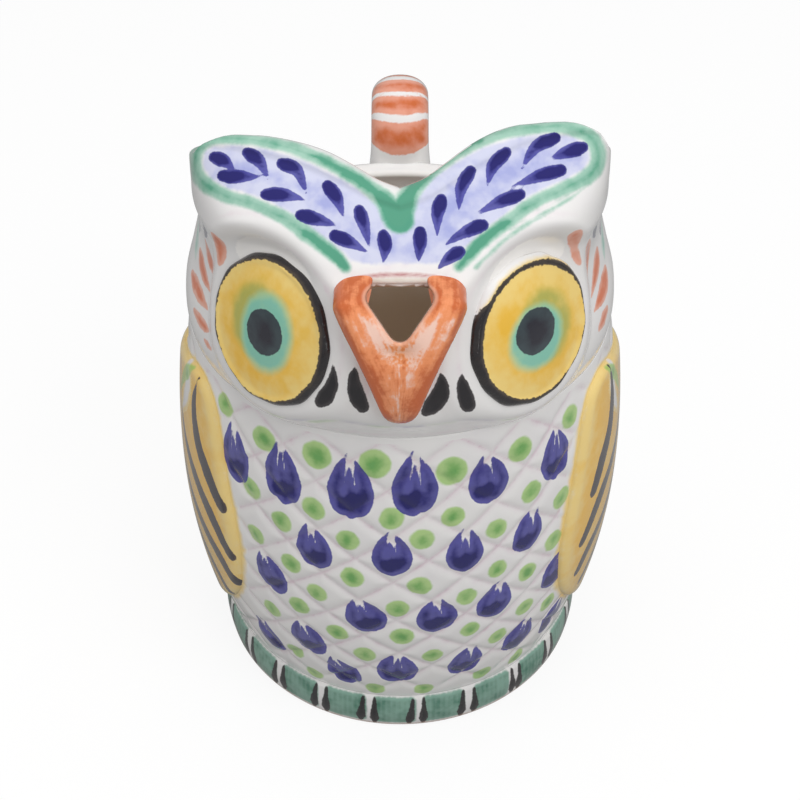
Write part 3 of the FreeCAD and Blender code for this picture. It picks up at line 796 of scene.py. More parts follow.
EYE_BEARING = math.radians(33.8)
EYE_HEIGHT = 100.4
EYE_FORWARD_TURN = math.radians(4)
EYE_UPWARD_TURN = math.radians(8.4)
EYE_RADIUS = 13.0
EYE_SEAT_DEPTH = 2.8
EYE_RIM = 2.9
EYE_DOME = 1.4
EYE_DEPTH_REACH = 14
# Height, distance from the eye's middle and width of the soft ridge and groove round each eye.
EYE_RINGS = ((0.50, 17.6, 1.5), (-0.22, 20.6, 1.4))


def eye_frame(side):
    """Middle of an eye on the skin, the way it looks, the level way to the beak, and up along its face."""
    step = 0.01
    bearing = side * EYE_BEARING
    middle = skin(bearing, EYE_HEIGHT)
    level = skin(bearing + step, EYE_HEIGHT) - skin(bearing - step, EYE_HEIGHT)
    upright = skin(bearing, EYE_HEIGHT + step) - skin(bearing, EYE_HEIGHT - step)
    outward = np.cross(level, upright)
    outward /= np.linalg.norm(outward)
    turned = math.atan2(outward[0], -outward[1]) - side * EYE_FORWARD_TURN
    rise = math.asin(outward[2]) + EYE_UPWARD_TURN
    look = np.array((math.sin(turned) * math.cos(rise), -math.cos(turned) * math.cos(rise), math.sin(rise)))
    beakward = np.cross(look, (0, 0, side))
    beakward /= np.linalg.norm(beakward)
    return middle, look, beakward, np.cross(beakward, look) * side


def from_eye(places, side):
    """How far places lie from an eye's middle along its face, towards the beak and up, and in front of it."""
    middle, look, beakward, up = eye_frame(side)
    offset = places - middle
    return offset @ beakward, offset @ up, offset @ look


def inner_side(level, rise):
    """1 for places towards the beak and above an eye, -1 for those on the other side of it."""
    return (level * 0.62 + rise * 0.78) / np.maximum(np.hypot(level, rise), 1e-6)


SPOUT_HALF_WIDTH = 6.9
SPOUT_HEIGHT = 8.4
SPOUT_TOP_SHARE = 0.45
SPOUT_CORNER = 1.7
SPOUT_LEAN = math.radians(38)
BEAK_LENGTH = 22.6
BEAK_TIP = 90.86
SPOUT_RISE = 19.1
BEAK_HALF_WIDTH = 10.8
BEAK_REACH = 8.5
HOLE_ROLL = 1.5
HOLE_SINK = 1.4
HOLE_DEPTH = -20
HOLE_REACH = 12


def spout_outline(corner_steps=7):
    """The rounded V of the spout hole, in its own plane."""
    top = SPOUT_HEIGHT * SPOUT_TOP_SHARE
    low = top - SPOUT_HEIGHT - SPOUT_CORNER
    corners = np.array(((-SPOUT_HALF_WIDTH, top), (0, low), (SPOUT_HALF_WIDTH, top)))
    outline = []
    for place in range(3):
        corner = corners[place]
        back = corners[place - 1] - corner
        ahead = corners[(place + 1) % 3] - corner
        back /= np.linalg.norm(back)
        ahead /= np.linalg.norm(ahead)
        half = math.acos(back @ ahead) / 2
        bisector = (back + ahead) / np.linalg.norm(back + ahead)
        centre = corner + bisector * SPOUT_CORNER / math.sin(half)
        first = corner + back * SPOUT_CORNER / math.tan(half) - centre
        last = corner + ahead * SPOUT_CORNER / math.tan(half) - centre
        sweep = math.atan2(first[0] * last[1] - first[1] * last[0], first @ last)
        for step in range(corner_steps):
            angle = sweep * step / (corner_steps - 1)
            outline.append(centre + (first[0] * math.cos(angle) - first[1] * math.sin(angle),
                                     first[0] * math.sin(angle) + first[1] * math.cos(angle)))
    return np.array(outline)


spout_place = skin(0.0, BEAK_TIP + SPOUT_RISE)
SPOUT_OUT = np.array((0, -math.cos(SPOUT_LEAN), math.sin(SPOUT_LEAN)))
SPOUT_UP = np.array((0, math.sin(SPOUT_LEAN), math.cos(SPOUT_LEAN)))


def spout_plane(places):
    """Places as seen along the spout hole."""
    offset = places - spout_place
    return np.stack((offset[:, 0], offset @ SPOUT_UP), axis=1)


def head_relief(places):
    """How far brows, the rings round the eyes and the hole's rolled edge stand out of the head's skin."""
    above = places[:, 2] - NECK_HEIGHT - HEAD_HEIGHT * through(BROW_LOWER, np.abs(places[:, 0]) / NECK_RADIUS)
    raised = BROW_RELIEF * smoothstep(above, -3.4, 1.2) * smoothstep(-places[:, 1], -2.0, 5.0)
    below_brow = 1 - smoothstep(above, -3.0, -0.4)
    for side in SIDES.values():
        level, rise, depth = from_eye(places, side)
        near = (depth > -EYE_DEPTH_REACH) & (np.sign(places[:, 0]) == side)
        share = smoothstep(inner_side(level, rise), -0.25, 0.55) * below_brow * near
        for height, distance, width in EYE_RINGS:
            raised += height * np.exp(-((np.hypot(level, rise) - distance) / width) ** 2) * share
    near_hole = (places[:, 1] < HOLE_DEPTH) & (np.abs(places[:, 0]) < HOLE_REACH)
    roll = np.clip(1 + outline_field(spout_plane(places), spout_outline()) / HOLE_ROLL, 0, 0.999)
    return raised - np.where(near_hole, HOLE_SINK * (1 - np.sqrt(1 - roll ** 2)), 0)


SOCKET_DEPTH = -0.6
SOCKET_REACH = 6.0


def press_sockets(places):
    """Lays the face round each eye against the edge of its disc."""
    for side in SIDES.values():
        level, rise, depth = from_eye(places, side)
        gap = np.hypot(level, rise)
        share = 1 - smoothstep(gap, EYE_RADIUS + 0.3, EYE_RADIUS + SOCKET_REACH)
        share *= depth > -EYE_DEPTH_REACH
        target = SOCKET_DEPTH - 1.6 * (1 - smoothstep(gap, EYE_RADIUS - 2.5, EYE_RADIUS - 0.4))
        places = places + ((target - depth) * share)[:, None] * eye_frame(side)[1]
    return places


LIP = 1.5
LIP_STEPS = 9
HEAD_ROWS = 140
INNER_HEAD_ROWS = 26
FRONT_STEPS = 400
rim = rim_height(bearings)
front_line = skin(np.zeros(FRONT_STEPS), np.linspace(NECK_HEIGHT, rim[0] - LIP, FRONT_STEPS))
front_length = length_along(front_line)
rows_up = np.interp(np.linspace(0, front_length[-1], HEAD_ROWS), front_length, np.linspace(0, 1, FRONT_STEPS))
head_bearings, rise_shares = np.meshgrid(bearings, rows_up)
head_outer = skin(head_bearings, NECK_HEIGHT + rise_shares * (rim - LIP - NECK_HEIGHT)).reshape(-1, 3)
head_outer = press_sockets(push_out(head_outer, head_relief(head_outer))).reshape(HEAD_ROWS, COLUMNS, 3)
inner_bearings, inner_shares = np.meshgrid(bearings, np.linspace(1, 0, INNER_HEAD_ROWS))
inner_levels = NECK_HEIGHT + inner_shares * (rim - LIP - NECK_HEIGHT)
head_inner = at(inner_bearings, inner_levels, head_radius(inner_bearings, inner_levels, True))
lip = []
for step in range(1, LIP_STEPS + 1):
    angle = math.pi * step / (LIP_STEPS + 1)
    share = (1 - math.cos(angle)) / 2
    ring = head_outer[-1] * (1 - share) + head_inner[0] * share
    ring[:, 2] = (rim - LIP) + LIP * math.sin(angle)
    lip.append(ring)
head_grid = np.concatenate((head_outer, np.array(lip), head_inner))
head = make_piece("owl_head", head_grid.reshape(-1, 3), grid_faces(len(head_grid), COLUMNS, True),
                  "head_shell", "left_brow", "right_brow")


def block(name, rings):
    """A helper block between two flat outlines."""
    return closed_object(name, np.vstack(rings), capped_faces(2, len(rings[0])))


def bore(name, reach, open_top):
    """A block in the shape of the spout hole; with an open top it only cuts the beak."""
    outline = spout_outline()
    if open_top:
        top = outline[:, 1] > SPOUT_HEIGHT * SPOUT_TOP_SHARE - 1e-6
        outline = outline + np.outer(top * SPOUT_HEIGHT, (0, 1))
    flat = spout_place + outline[:, :1] * (1, 0, 0) + outline[:, 1:] * SPOUT_UP
    return block(name, [flat + SPOUT_OUT * along for along in (-reach, reach)])


def apply_modifiers(piece):
    """Turns a piece's modifiers into its mesh."""
    bpy.context.view_layer.update()
    shaped = piece.evaluated_get(bpy.context.evaluated_depsgraph_get())
    mesh = bpy.data.meshes.new_from_object(shaped)
    old = piece.data
    piece.modifiers.clear()
    piece.data = mesh
    mesh.name = piece.name
    bpy.data.meshes.remove(old)


def carve(piece, operation, *tools):
    """Cuts or keeps what the tools share with a piece."""
    for tool in tools:
        change = piece.modifiers.new("carve", "BOOLEAN")
        change.operation = operation
        change.solver = "EXACT"
        change.object = tool
        apply_modifiers(piece)
        bpy.data.objects.remove(tool)


carve(head, "DIFFERENCE", bore("spout_way", 14.0, False))
head.data.shade_smooth()

# Marks on the brows and the face as they show in the photograph, in its pixels.
# A green loop runs round each brow, from the notch along the rim, round the tuft and back to the beak.
TEAL_LOOPS = {
    "left": ((397, 218), (383.6, 199.6), (360.6, 181.2), (337.7, 168), (314.7, 156.5), (287, 146.5),
    (259.6, 140.5),
             (233.6, 138), (210.6, 139.5), (198.4, 147.6), (194.5, 161.3), (196.8, 173.6), (207.6, 186),
             (225.9, 196),
             (245.8, 201.1), (265.7, 208.8), (287.1, 219.5), (305.5, 233.3), (322.4, 246), (337, 257.5),
             (346, 268)),
    "right": ((400, 219), (409, 195), (428.2, 172), (453.8, 154), (479.3, 140), (510, 130.5),
    (540.7, 126.5), (568.8, 127.5),
              (588, 135.3), (597, 148.3), (598, 162.4), (589.2, 175.2), (573.9, 184.1), (553.4, 193.1),
              (530.4, 204.6),
              (507.4, 222.4), (489.6, 235.2), (472, 252), (458.5, 267)),
}
TEAL_WIDTHS = {
    "left": (2.5, 1.7, 1.3, 1.2, 1.15, 1.1, 1.0, 0.95, 1.0, 1.15, 1.2, 1.3, 1.3, 1.15, 1.1, 1.1, 1.2, 1.35,
             1.35,
             1.3, 1.0),
    "right": (2.5, 1.8, 1.4, 1.3, 1.3, 1.25, 1.2, 1.2, 1.3, 1.35, 1.4, 1.35, 1.2, 1.15, 1.15, 1.2, 1.25, 1.3,
             1.0),
}
# The pixels that close each loop between the brows, for the lavender ground inside it.
LOOP_ENDS = {"left": ((372, 272), (412, 270), (412, 222)), "right": ((430, 272), (388, 270), (388, 222))}
LEAVES = (
    ((214.4, 157.5), (224.4, 161.3), (234.3, 170.5)), ((247.4, 152.9), (259.6, 161.3), (268, 178.9)),
    ((281.8, 163.6), (297.1, 170.5), (306.3, 192.7)), ((327.7, 185.8), (336.9, 198.1), (343.8, 218)),
    ((359.1, 210.3), (363.7, 224.1), (369, 245.5)), ((383.5, 235), (385, 247), (383.3, 262)),
    ((223, 175.9), (241.2, 176.6), (258.8, 176.9)), ((265.7, 194.2), (285.6, 195), (304.8, 199.6)),
    ((300.9, 214.9), (317.8, 219.5), (336.1, 224.9)), ((334.6, 235.6), (349.9, 242.5), (366.7, 251.6)),
    ((554.7, 138.1), (536, 146.8), (521.5, 168.8)), ((506.2, 152.2), (493, 165.9), (487.5, 185.4)),
    ((470.4, 171.3), (461.5, 187.7), (458.9, 209.2)), ((441, 199.4), (437.4, 214.8), (437.2, 235.2)),
    ((420, 232), (419.8, 245), (418.6, 261)), ((582.8, 147.1), (566.2, 152.2), (550.4, 159.1)),
    ((561.1, 170.1), (538.1, 176.4), (512, 186.7)), ((520.2, 194.3), (499.8, 202), (477.3, 213.5)),
    ((483.2, 225), (466.6, 231.4), (446.1, 244.2)), ((460, 251.7), (450, 257.5), (438.3, 268.3)),
)
LEAF_WIDTHS = (1.0, 1.24, 1.22, 1.08, 0.82, 0.5, 0.15)
DROPS = (
    (((333, 364), (333, 375), (331, 387), (325.5, 397), (321, 401)), (0.1, 0.65, 1.2, 1.45, 1.1)),
    (((355.5, 366.9), (353.7, 377.1), (355, 388.4), (358.1, 398.6), (362.7, 406.5)),
    (0.1, 0.95, 1.35, 1.45, 1.1)),
    (((440.7, 375.1), (442.2, 385.3), (439.2, 396.5), (432, 405.7), (425.5, 411.6)),
    (0.3, 1.15, 1.65, 1.5, 0.8)),
    (((461.7, 374), (462.5, 384), (465, 395), (468, 404)), (0.1, 0.95, 1.35, 1.4)),
)
BEAK_LINE = ((358, 277.5), (378, 275.3), (400, 274.6), (418, 275), (436, 276.8))
BEAK_SHADE = ((362, 281), (380, 280), (400, 279.6), (420, 280), (434, 281))
BROW_LINES = (
    ((236, 194), (262, 203), (285, 214.5), (310, 232), (335, 251)),
    ((482, 257), (500, 238), (524, 219), (552, 202), (578, 188)),
)
PALE_LINE = ((476, 267), (501, 243), (513, 233.5), (540, 216), (569, 199), (588, 184))

# Dashes on the cheeks and marks behind them, as bearings in degrees and heights.
DASHES = (
    (((-54.5, 112.2), (-54.7, 109.1), (-55.7, 104.3)), (0.9, 1.6, 1.4, 0.1)),
    (((-69.0, 104.2), (-65.9, 102.5), (-60.1, 100.6)), (0.8, 1.7, 1.5, 0.1)),
    (((-75.4, 99.8), (-70.7, 98.4), (-61.9, 96.9)), (0.8, 1.7, 1.5, 0.1)),
    (((-78.1, 94.0), (-70.6, 94.0), (-61.1, 93.9)), (0.8, 1.7, 1.5, 0.1)),
    (((-69.2, 90.2), (-62.6, 90.6), (-57.4, 91.2)), (0.6, 1.3, 1.1, 0.1)),
    (((-60.0, 88.2), (-56.4, 88.2)), (0.4, 0.8, 0.4)),
    (((50.0, 113.3), (52.2, 109.4), (56.3, 104.6)), (1.5, 1.6, 1.0, 0.2)),
    (((59.9, 108.0), (62.4, 104.2), (61.9, 99.7)), (1.0, 1.7, 1.3, 0.2)),
    (((72.3, 100.8), (70.0, 99.0), (62.9, 95.8)), (1.2, 2.0, 1.6, 0.2)),
    (((76.4, 95.0), (71.8, 93.9), (62.2, 93.2)), (1.4, 2.1, 1.7, 0.2)),
    (((70.4, 89.9), (63.4, 89.4)), (0.9, 1.5, 0.8)),
)
# The first and last bearing of the marks round the back, and their step, in degrees.
BACK_DROPS = (76, 165, 8.5)
BACK_LEAVES = (94, 170, 17)
DROPS_TOP = 139.36
DROPS_SLOPE = 0.32
DROPS_STEP = 5.2
DROPS_LOWEST = 104
CHEEK_MARKS = (
    ("violet", ((61.5, 112.4), (65.0, 108.8), (69.2, 105.6)), (0.2, 1.1, 1.1, 0.2)),
    ("aqua", ((84.0, 103.6), (81.5, 100.4), (78.5, 97.0)), (0.3, 1.5, 1.9, 0.3)),
)


def paint_brows(spots):
    """Marks of the brows and the face, as fields of distance in the picture."""
    fields = blank(spots, "teal", "teal_pool", "cobalt", "pool", "black", "pink", "overhang_shade", "mauve", "lavender")
    for side, loop in TEAL_LOOPS.items():
        brush(fields["teal"], spots, drawn(loop), TEAL_WIDTHS[side])
        region = np.array((*loop, *LOOP_ENDS[side])) / PIXELS_PER_MM
        fields["lavender"] = np.maximum(fields["lavender"], outline_field(spots, region) - 1.35)
        brush(fields["teal_pool"], spots, drawn(loop[-4:]), (0.3, 0.9, 0.6))
        brush(fields["teal_pool"], spots, drawn(loop[:5]), (2.2, 0.8, 0.6, 0.3))
    for leaf in LEAVES:
        path = drawn(leaf, 6)
        brush(fields["cobalt"], spots, path, LEAF_WIDTHS)
        brush(fields["pool"], spots, path[:6], (1.0, 1.0, 0.5))
    for path, widths in DROPS:
        brush(fields["black"], spots, drawn(path), widths)
    brush(fields["pink"], spots, drawn(BEAK_LINE), (0.3, 0.42, 0.45, 0.42, 0.3))
    # Painted shade along the overhang just above the spout hole.
    brush(fields["overhang_shade"], spots, drawn(BEAK_SHADE), (0.3, 0.45, 0.45, 0.3))
    # Mauve lines along the crease under each brow: glaze pooled there, and painted shade.
    for path in BROW_LINES:
        brush(fields["mauve"], spots, drawn(path), (0.1, 0.35, 0.35, 0.1))
    brush(fields["teal"], spots, drawn(PALE_LINE), (0.3, 0.35, 0.35, 0.3, 0.1))
    return fields


def paint_sides(places):
    """Marks on the cheeks and round the back of the head."""
    fields = blank(places, "orange", "violet", "aqua")
    for path, widths in DASHES:
        brush(fields["orange"], places, marks(path, steps=4), widths)
    for side in SIDES.values():
        for name, path, widths in CHEEK_MARKS:
            brush(fields[name], places, marks(np.array(path) * (side, 1)), widths)
        for bearing in np.arange(*BACK_DROPS):
            top = DROPS_TOP - DROPS_SLOPE * bearing + rng.normal(0, 0.4)
            highest = rim_height(np.radians((side * bearing,)))[0] - 2.5
            for drop in range(3):
                low = top - DROPS_STEP * drop
                start = bearing + 1.2 * drop
                if DROPS_LOWEST < low < highest:
                    path = marks(((side * start, low), (side * (start + 0.8), low - 3.4)), steps=3)
                    brush(fields["violet"], places, path, (0.2, 0.8, 0.7, 0.2))
        for bearing in np.arange(*BACK_LEAVES):
            path = marks(((side * bearing, 99.0), (side * (bearing + 1.0), 92.0)), steps=4)
            brush(fields["aqua"], places, path, (0.3, 1.4, 1.9, 1.3, 0.2))
    return fields


def socket_shades(places):
    """Mauve shadow lines round the eyes' inner side, over the spout hole and under the chin."""
    field = np.full(len(places), FAR)
    for side in SIDES.values():
        level, rise, depth = from_eye(places, side)
        on_side = (np.sign(places[:, 0]) == side) & (depth > -12)
        thinner = 1.6 * (smoothstep(inner_side(level, rise), -0.1, 0.6) - 1)
        for ring, width in ((15.5, 0.2), (19.9, 0.35)):
            line = width - np.abs(np.hypot(level, rise) - ring) + thinner
            field = np.where(on_side, np.maximum(field, line), field)
    brush(field, places, marks(((-10.5, 114.2), (0, 114.9), (10.0, 114.3))), (0.2, 0.45, 0.5, 0.45, 0.2))
    return np.maximum(field, 0.25 - np.abs(places[:, 2] - 84.2) * 0.8)


head_places = places_of(head)
normals = np.empty(len(head_places) * 3)
head.data.vertices.foreach_get("normal", normals)
normals = normals.reshape(-1, 3)
head_bearing = bearing_of(head_places)
head_skin = head_radius(head_bearing, np.clip(head_places[:, 2], NECK_HEIGHT, HEAD_TOP))
depth_in = head_skin - radius_of(head_places)
turned_out = np.sum(normals * at(head_bearing, 0.8, 1.0), axis=1)
rim_here = np.interp(head_bearing, np.append(bearings, math.pi), np.append(rim, rim[0]))
on_lip = head_places[:, 2] > rim_here - LIP
outside = (turned_out > 0) & ((depth_in < 2.0) | on_lip)
spots, to_camera = in_picture(head_places)
facing = (np.sum(normals * to_camera, axis=1) > 0.02) & outside & (head_places[:, 1] < 9)
face = paint_brows(spots)
face["mauve"] = np.maximum(face["mauve"], socket_shades(head_places))
store_where(head, head_places[:, 1] < 0, {"overhang_shade": face.pop("overhang_shade")})
store_where(head, facing, face)
store_where(head, outside & ~on_lip, paint_sides(head_places))
# Inner surfaces get the painted inner shade; the spout hole's cut wall behind the beak gets the dark brown
# painted shade.
inner = np.where(outside, 0.0, smoothstep(depth_in, 0.8, 2.0))
bore_gap = outline_field(spout_plane(head_places), spout_outline())
behind_beak = (depth_in > 1.2) | (head_places[:, 2] < BEAK_TIP + 12)
bore_shade_mask = (bore_gap > -0.3) & (head_places[:, 1] < HOLE_DEPTH) & behind_beak
store(head, "inner", np.where(bore_shade_mask, 1.0, inner))
store(head, "bore", np.where(bore_shade_mask, 1.0, 0.0))

HEAD_LAYERS = [MAUVE_POOLING_AND_SHADE, LAVENDER, TEAL, SHADE_BAND_LAYER, PINK, BROW_COBALT, ORANGE, BLACK, VIOLET, AQUA]
head.data.materials.append(glaze("head_glaze", HEAD_LAYERS, tint=painted_inside_shade))


# Eyes: flat domes with a thick dark outline

EYE_COLUMNS = 240
EYE_EDGE = 1.1
OUTLINE_WIDTHS = np.array((
    (-180, 1.05), (-135, 0.95), (-90, 0.85), (-70, 1.0), (-45, 1.3), (0, 1.3), (30, 1.1), (50, 0.95),
    (90, 0.95), (135, 1.1), (160, 1.05), (180, 1.05),
))
WALL_WIDTHS = np.array((
    (-180, 0.2), (-110, 0.3), (-75, 0.9), (-45, 1.5), (0, 1.3), (12, 0.7), (24, -0.6), (90, -0.8),
    (135, -0.3), (180, 0.2),
))
# How far the paint of the smaller right outline reaches past it.
RIGHT_OVERLAP = np.array((
    (-180, 0.10), (-120, 0.10), (-95, 2.0), (20, 2.0), (48, 0.15), (90, 0.10), (180, 0.10),
))
# Middle towards the beak and up, with half width and half height; the outline's as shares of the disc.
EYE_MARKS = {
    "left": {"outline": (0.0, 0.0, 1.0, 1.0), "pupil": (0.3, 0.15, 4.0, 3.95), "ring": (0.6, 0.15, 5.8, 7.2)},
    "right": {"outline": (-0.3, -0.35, 0.985, 0.93), "pupil": (0.2, 0.35, 4.4, 4.0),
              "ring": (0.2, -0.8, 6.2, 5.7)},
}


def make_eye(label, side):
    """One eye as a closed disc."""
    middle, look, beakward, up = eye_frame(side)
    seat = middle - look * EYE_SEAT_DEPTH
    turn = np.arange(EYE_COLUMNS) * TURN / EYE_COLUMNS
    flat = EYE_RADIUS - EYE_EDGE
    rings = [(gap, EYE_RIM + EYE_DOME * (1 - (gap / EYE_RADIUS) ** 2)) for gap in np.linspace(0.4, flat, 44)]
    rings += arc((flat, rings[-1][1] - EYE_EDGE), EYE_EDGE, math.pi / 2, 0, 7)
    rings += [(EYE_RADIUS, height) for height in np.linspace(rings[-1][1], 0, 7)[1:]]
    rings += [(gap, 0.0) for gap in (9.0, 4.0, 0.4)]
    rings = np.array(rings)
    ripple = 0.10 * np.sin(turn * 7 + 1.3) + 0.07 * np.sin(turn * 13 + side)
    gaps = rings[:, :1] + ripple * (rings[:, :1] > EYE_RADIUS - 1.6)
    outline_bump = 0.25 * np.exp(-((rings[:, :1] - EYE_RADIUS + 1.0) / 0.6) ** 2) * (rings[:, 1:] > 1.0)
    grid = seat + (gaps * np.cos(turn))[..., None] * beakward + (gaps * np.sin(turn))[..., None] * up
    grid = seated(grid + (rings[:, 1:] + outline_bump + 0 * turn)[..., None] * look, EYE_SEAT_SHARE)
    faces = capped_faces(len(rings), EYE_COLUMNS)
    eye = make_piece(label + "_eye_disc", grid.reshape(-1, 3), faces, label + "_eye")
    places = places_of(eye)
    level, rise, depth = from_eye(places, side)
    angle = np.degrees(np.arctan2(rise, level))
    fields = {}
    for name, (across, above, half_width, half_height) in EYE_MARKS[label].items():
        fields[name] = np.hypot((level - across) / half_width, (rise - above) / half_height)
    beyond = fields["outline"] - EYE_RADIUS
    overlap = np.interp(angle, *RIGHT_OVERLAP.T) if label == "right" else 2.0
    painted = (depth > EYE_RIM - EYE_SEAT_DEPTH - EYE_EDGE) & (beyond < overlap + 0.4)
    outline = np.minimum(np.interp(angle, *OUTLINE_WIDTHS.T) + beyond, overlap - beyond)
    on_wall = np.hypot(level, rise) > EYE_RADIUS - 0.5
    wall_black = np.where(on_wall, np.interp(angle, *WALL_WIDTHS.T) + depth, FAR)
    store(eye, "black", np.maximum(np.where(painted, outline, FAR), wall_black))
    store(eye, "pupil", (1 - fields["pupil"]) * 4.0)
    store(eye, "aqua", (1 - fields["ring"]) * 6.2)
    ring_across, ring_above = EYE_MARKS[label]["ring"][:2]
    store(eye, "haze", 7.6 - np.hypot(level - ring_across + 2.4, (rise - ring_above - 1.2) / 1.1))
    store(eye, "yellow", np.where(depth > -0.3, (1.0 if label == "left" else 0.45) - beyond, FAR))
    return eye


eye_glaze = glaze("eye_glaze", [EYE_YELLOW, EYE_HAZE, EYE_AQUA, PUPIL_BLACK, OUTLINE_BLACK], roughness=0.16)
for eye_label, eye_side in SIDES.items():
    make_eye(eye_label, eye_side).data.materials.append(eye_glaze)


# Beak: a thick lip round the spout hole

BEAK_FRONT = np.array((
    (0.58, 1.03), (0.85, 1.00), (0.98, 0.93), (0.90, 0.83), (0.68, 0.65), (0.49, 0.46), (0.35, 0.28),
    (0.21, 0.10), (0.00, 0.00),
))
BEAK_SIDE = np.array(((0.00, 1.10), (0.50, 0.92), (0.88, 0.62), (1.00, 0.34), (0.84, 0.10), (0.42, -0.06)))
BEAK_PLAN = np.array(((1.30, -0.50), (1.00, 0.15), (0.60, 0.74), (0.25, 0.96), (0.00, 1.00)))
# The helper blocks that meet in the beak reach past it: how far across, in depth and in height.
BEAK_ACROSS = (-14, 14)
BEAK_DEPTHS = (-52, -29)
BEAK_HEIGHTS = (80, 125)
VIEWS_BACK = -28
BASIN_DEPTH = 0.75


def prism(name, outline, axis, low, high):
    """A helper block: a flat outline pushed along an axis."""
    return block(name, [np.insert(outline, axis, level, axis=1) for level in (low, high)])


def both_sides(half):
    """An outline from one side, through the middle, to the other."""
    return np.vstack((half, half[-2::-1] * (-1, 1)))


front_view = smooth_line(both_sides(BEAK_FRONT * (BEAK_HALF_WIDTH, BEAK_LENGTH) + (0, BEAK_TIP)), steps=5)
side_view = smooth_line(BEAK_SIDE * (-BEAK_REACH, BEAK_LENGTH) + (-NECK_RADIUS, BEAK_TIP), steps=5)
side_view = np.vstack((side_view, ((VIEWS_BACK, side_view[-1, 1]), (VIEWS_BACK, side_view[0, 1]))))
plan_view = smooth_line(both_sides(BEAK_PLAN * (BEAK_HALF_WIDTH, -BEAK_REACH) + (0, -NECK_RADIUS)), steps=5)
plan_view = np.vstack((plan_view, ((plan_view[-1, 0], VIEWS_BACK), (plan_view[0, 0], VIEWS_BACK))))
beak_block = prism("beak", front_view, 1, *BEAK_DEPTHS)
carve(beak_block, "INTERSECT", prism("beak_side", side_view, 0, *BEAK_ACROSS),
      prism("beak_plan", plan_view, 2, *BEAK_HEIGHTS))
carve(beak_block, "DIFFERENCE", bore("beak_way", 16.0, True))
remesh = beak_block.modifiers.new("remesh", "REMESH")
remesh.mode = "VOXEL"
remesh.voxel_size = 0.30 * MM
smooth = beak_block.modifiers.new("smooth", "SMOOTH")
smooth.factor = 0.5
smooth.iterations = 45
apply_modifiers(beak_block)
beak_block.name = "beak_lip"
dress(beak_block, "glazed_clay", "beak_spout")
beak_places = places_of(beak_block)
basin_top = spout_place + SPOUT_UP * (SPOUT_HEIGHT * (SPOUT_TOP_SHARE - 1) - 1.0)
basin_gap = np.hypot(beak_places[:, 0] / 2.4, (beak_places[:, 2] - basin_top[2] - 1.6) / 1.7)
in_front = smoothstep(-beak_places[:, 1], NECK_RADIUS + 1.5, NECK_RADIUS + 3.5)
basin = np.exp(-basin_gap ** 2) * in_front
beak_places = seated(beak_places - BASIN_DEPTH * basin[:, None] * SPOUT_OUT, BEAK_SEAT_SHARE)
beak_block.data.vertices.foreach_set("co", (beak_places * MM).ravel())
beak_block.data.update()
along = beak_places[:, 2] - BEAK_TIP
side_of = np.tanh(beak_places[:, 0] / 1.2)
arm = np.abs(beak_places[:, 0]) - 0.44 * np.maximum(along - 3.0, 0)
store(beak_block, "streak", np.stack((arm, along * 0.10, side_of * 4.0 + beak_places[:, 1] * 0.12), axis=1))
hole_gap = -outline_field(spout_plane(beak_places), spout_outline())
edge_gap = outline_field(beak_places[:, [0, 2]], front_view)
store(beak_block, "hole_gap", hole_gap)
store(beak_block, "edge_gap", edge_gap)
# Along the arms' ridges: thinner glaze and a painted highlight.
store(beak_block, "ridge_thin_glaze_and_highlight", np.exp(-((hole_gap - 1.9) / 0.75) ** 2) * smoothstep(along, 7.0, 11.0))
store(beak_block, "basin", basin)


def beak_material():
    """Orange brushed on in long streaks, paler on the ridges where the glaze runs thin and a highlight is
    painted, dark at the edges and crawled below the hole.
    """
    n = Nodes("beak_glaze")
    streak = n.add("ShaderNodeAttribute", attribute_name="streak").outputs["Vector"]
    broad = n.spots(streak, 0.42, 3.0)
    narrow = n.spots(streak, 1.05, 3.0)
    middle = n.noise(1.5, 3.0)
    fine = n.noise(0.5, 2.0)
    basin = n.field("basin")
    load = n.total(broad, n.times(n.maths("SUBTRACT", narrow, 0.5), 0.55), n.times(middle, 0.55),
                   n.ramp(n.field("edge_gap"), 3.4, 0.3, 0.0, 0.42), n.times(fine, 0.25))
    # Painted highlight, with thinner glaze: paler along the ridges of the arms.
    load = n.maths("SUBTRACT", load, n.times(n.field("ridge_thin_glaze_and_highlight"), 0.30))
    load = n.total(load, n.times(basin, n.total(n.times(fine, 1.5), n.times(middle, 1.2))))
    colour = n.mix(n.ramp(load, 0.26, 0.56), (0.90, 0.60, 0.49), (0.85, 0.30, 0.125))
    colour = n.mix(n.ramp(load, 0.54, 0.92), colour, (0.58, 0.13, 0.035))
    colour = n.mix(n.times(basin, 0.6), colour, (0.60, 0.22, 0.07))
    colour = n.mix(n.times(n.ramp(n.field("hole_gap"), 0.8, 0.2), 0.6), colour, (0.84, 0.48, 0.34))
    return n.glossy_clay(colour, n.times(load, 0.14), 0.5, 0.16, 0.05)


beak_block.data.materials.clear()
beak_block.data.materials.append(beak_material())


# Wings: raised panels, yellow with dark stripes

WING_RELIEF = 1.15
WING_SINK = 0.45
WING_DEPTH = 1.3
WING_ROUNDING = 1.9
WING_COLUMNS = 300
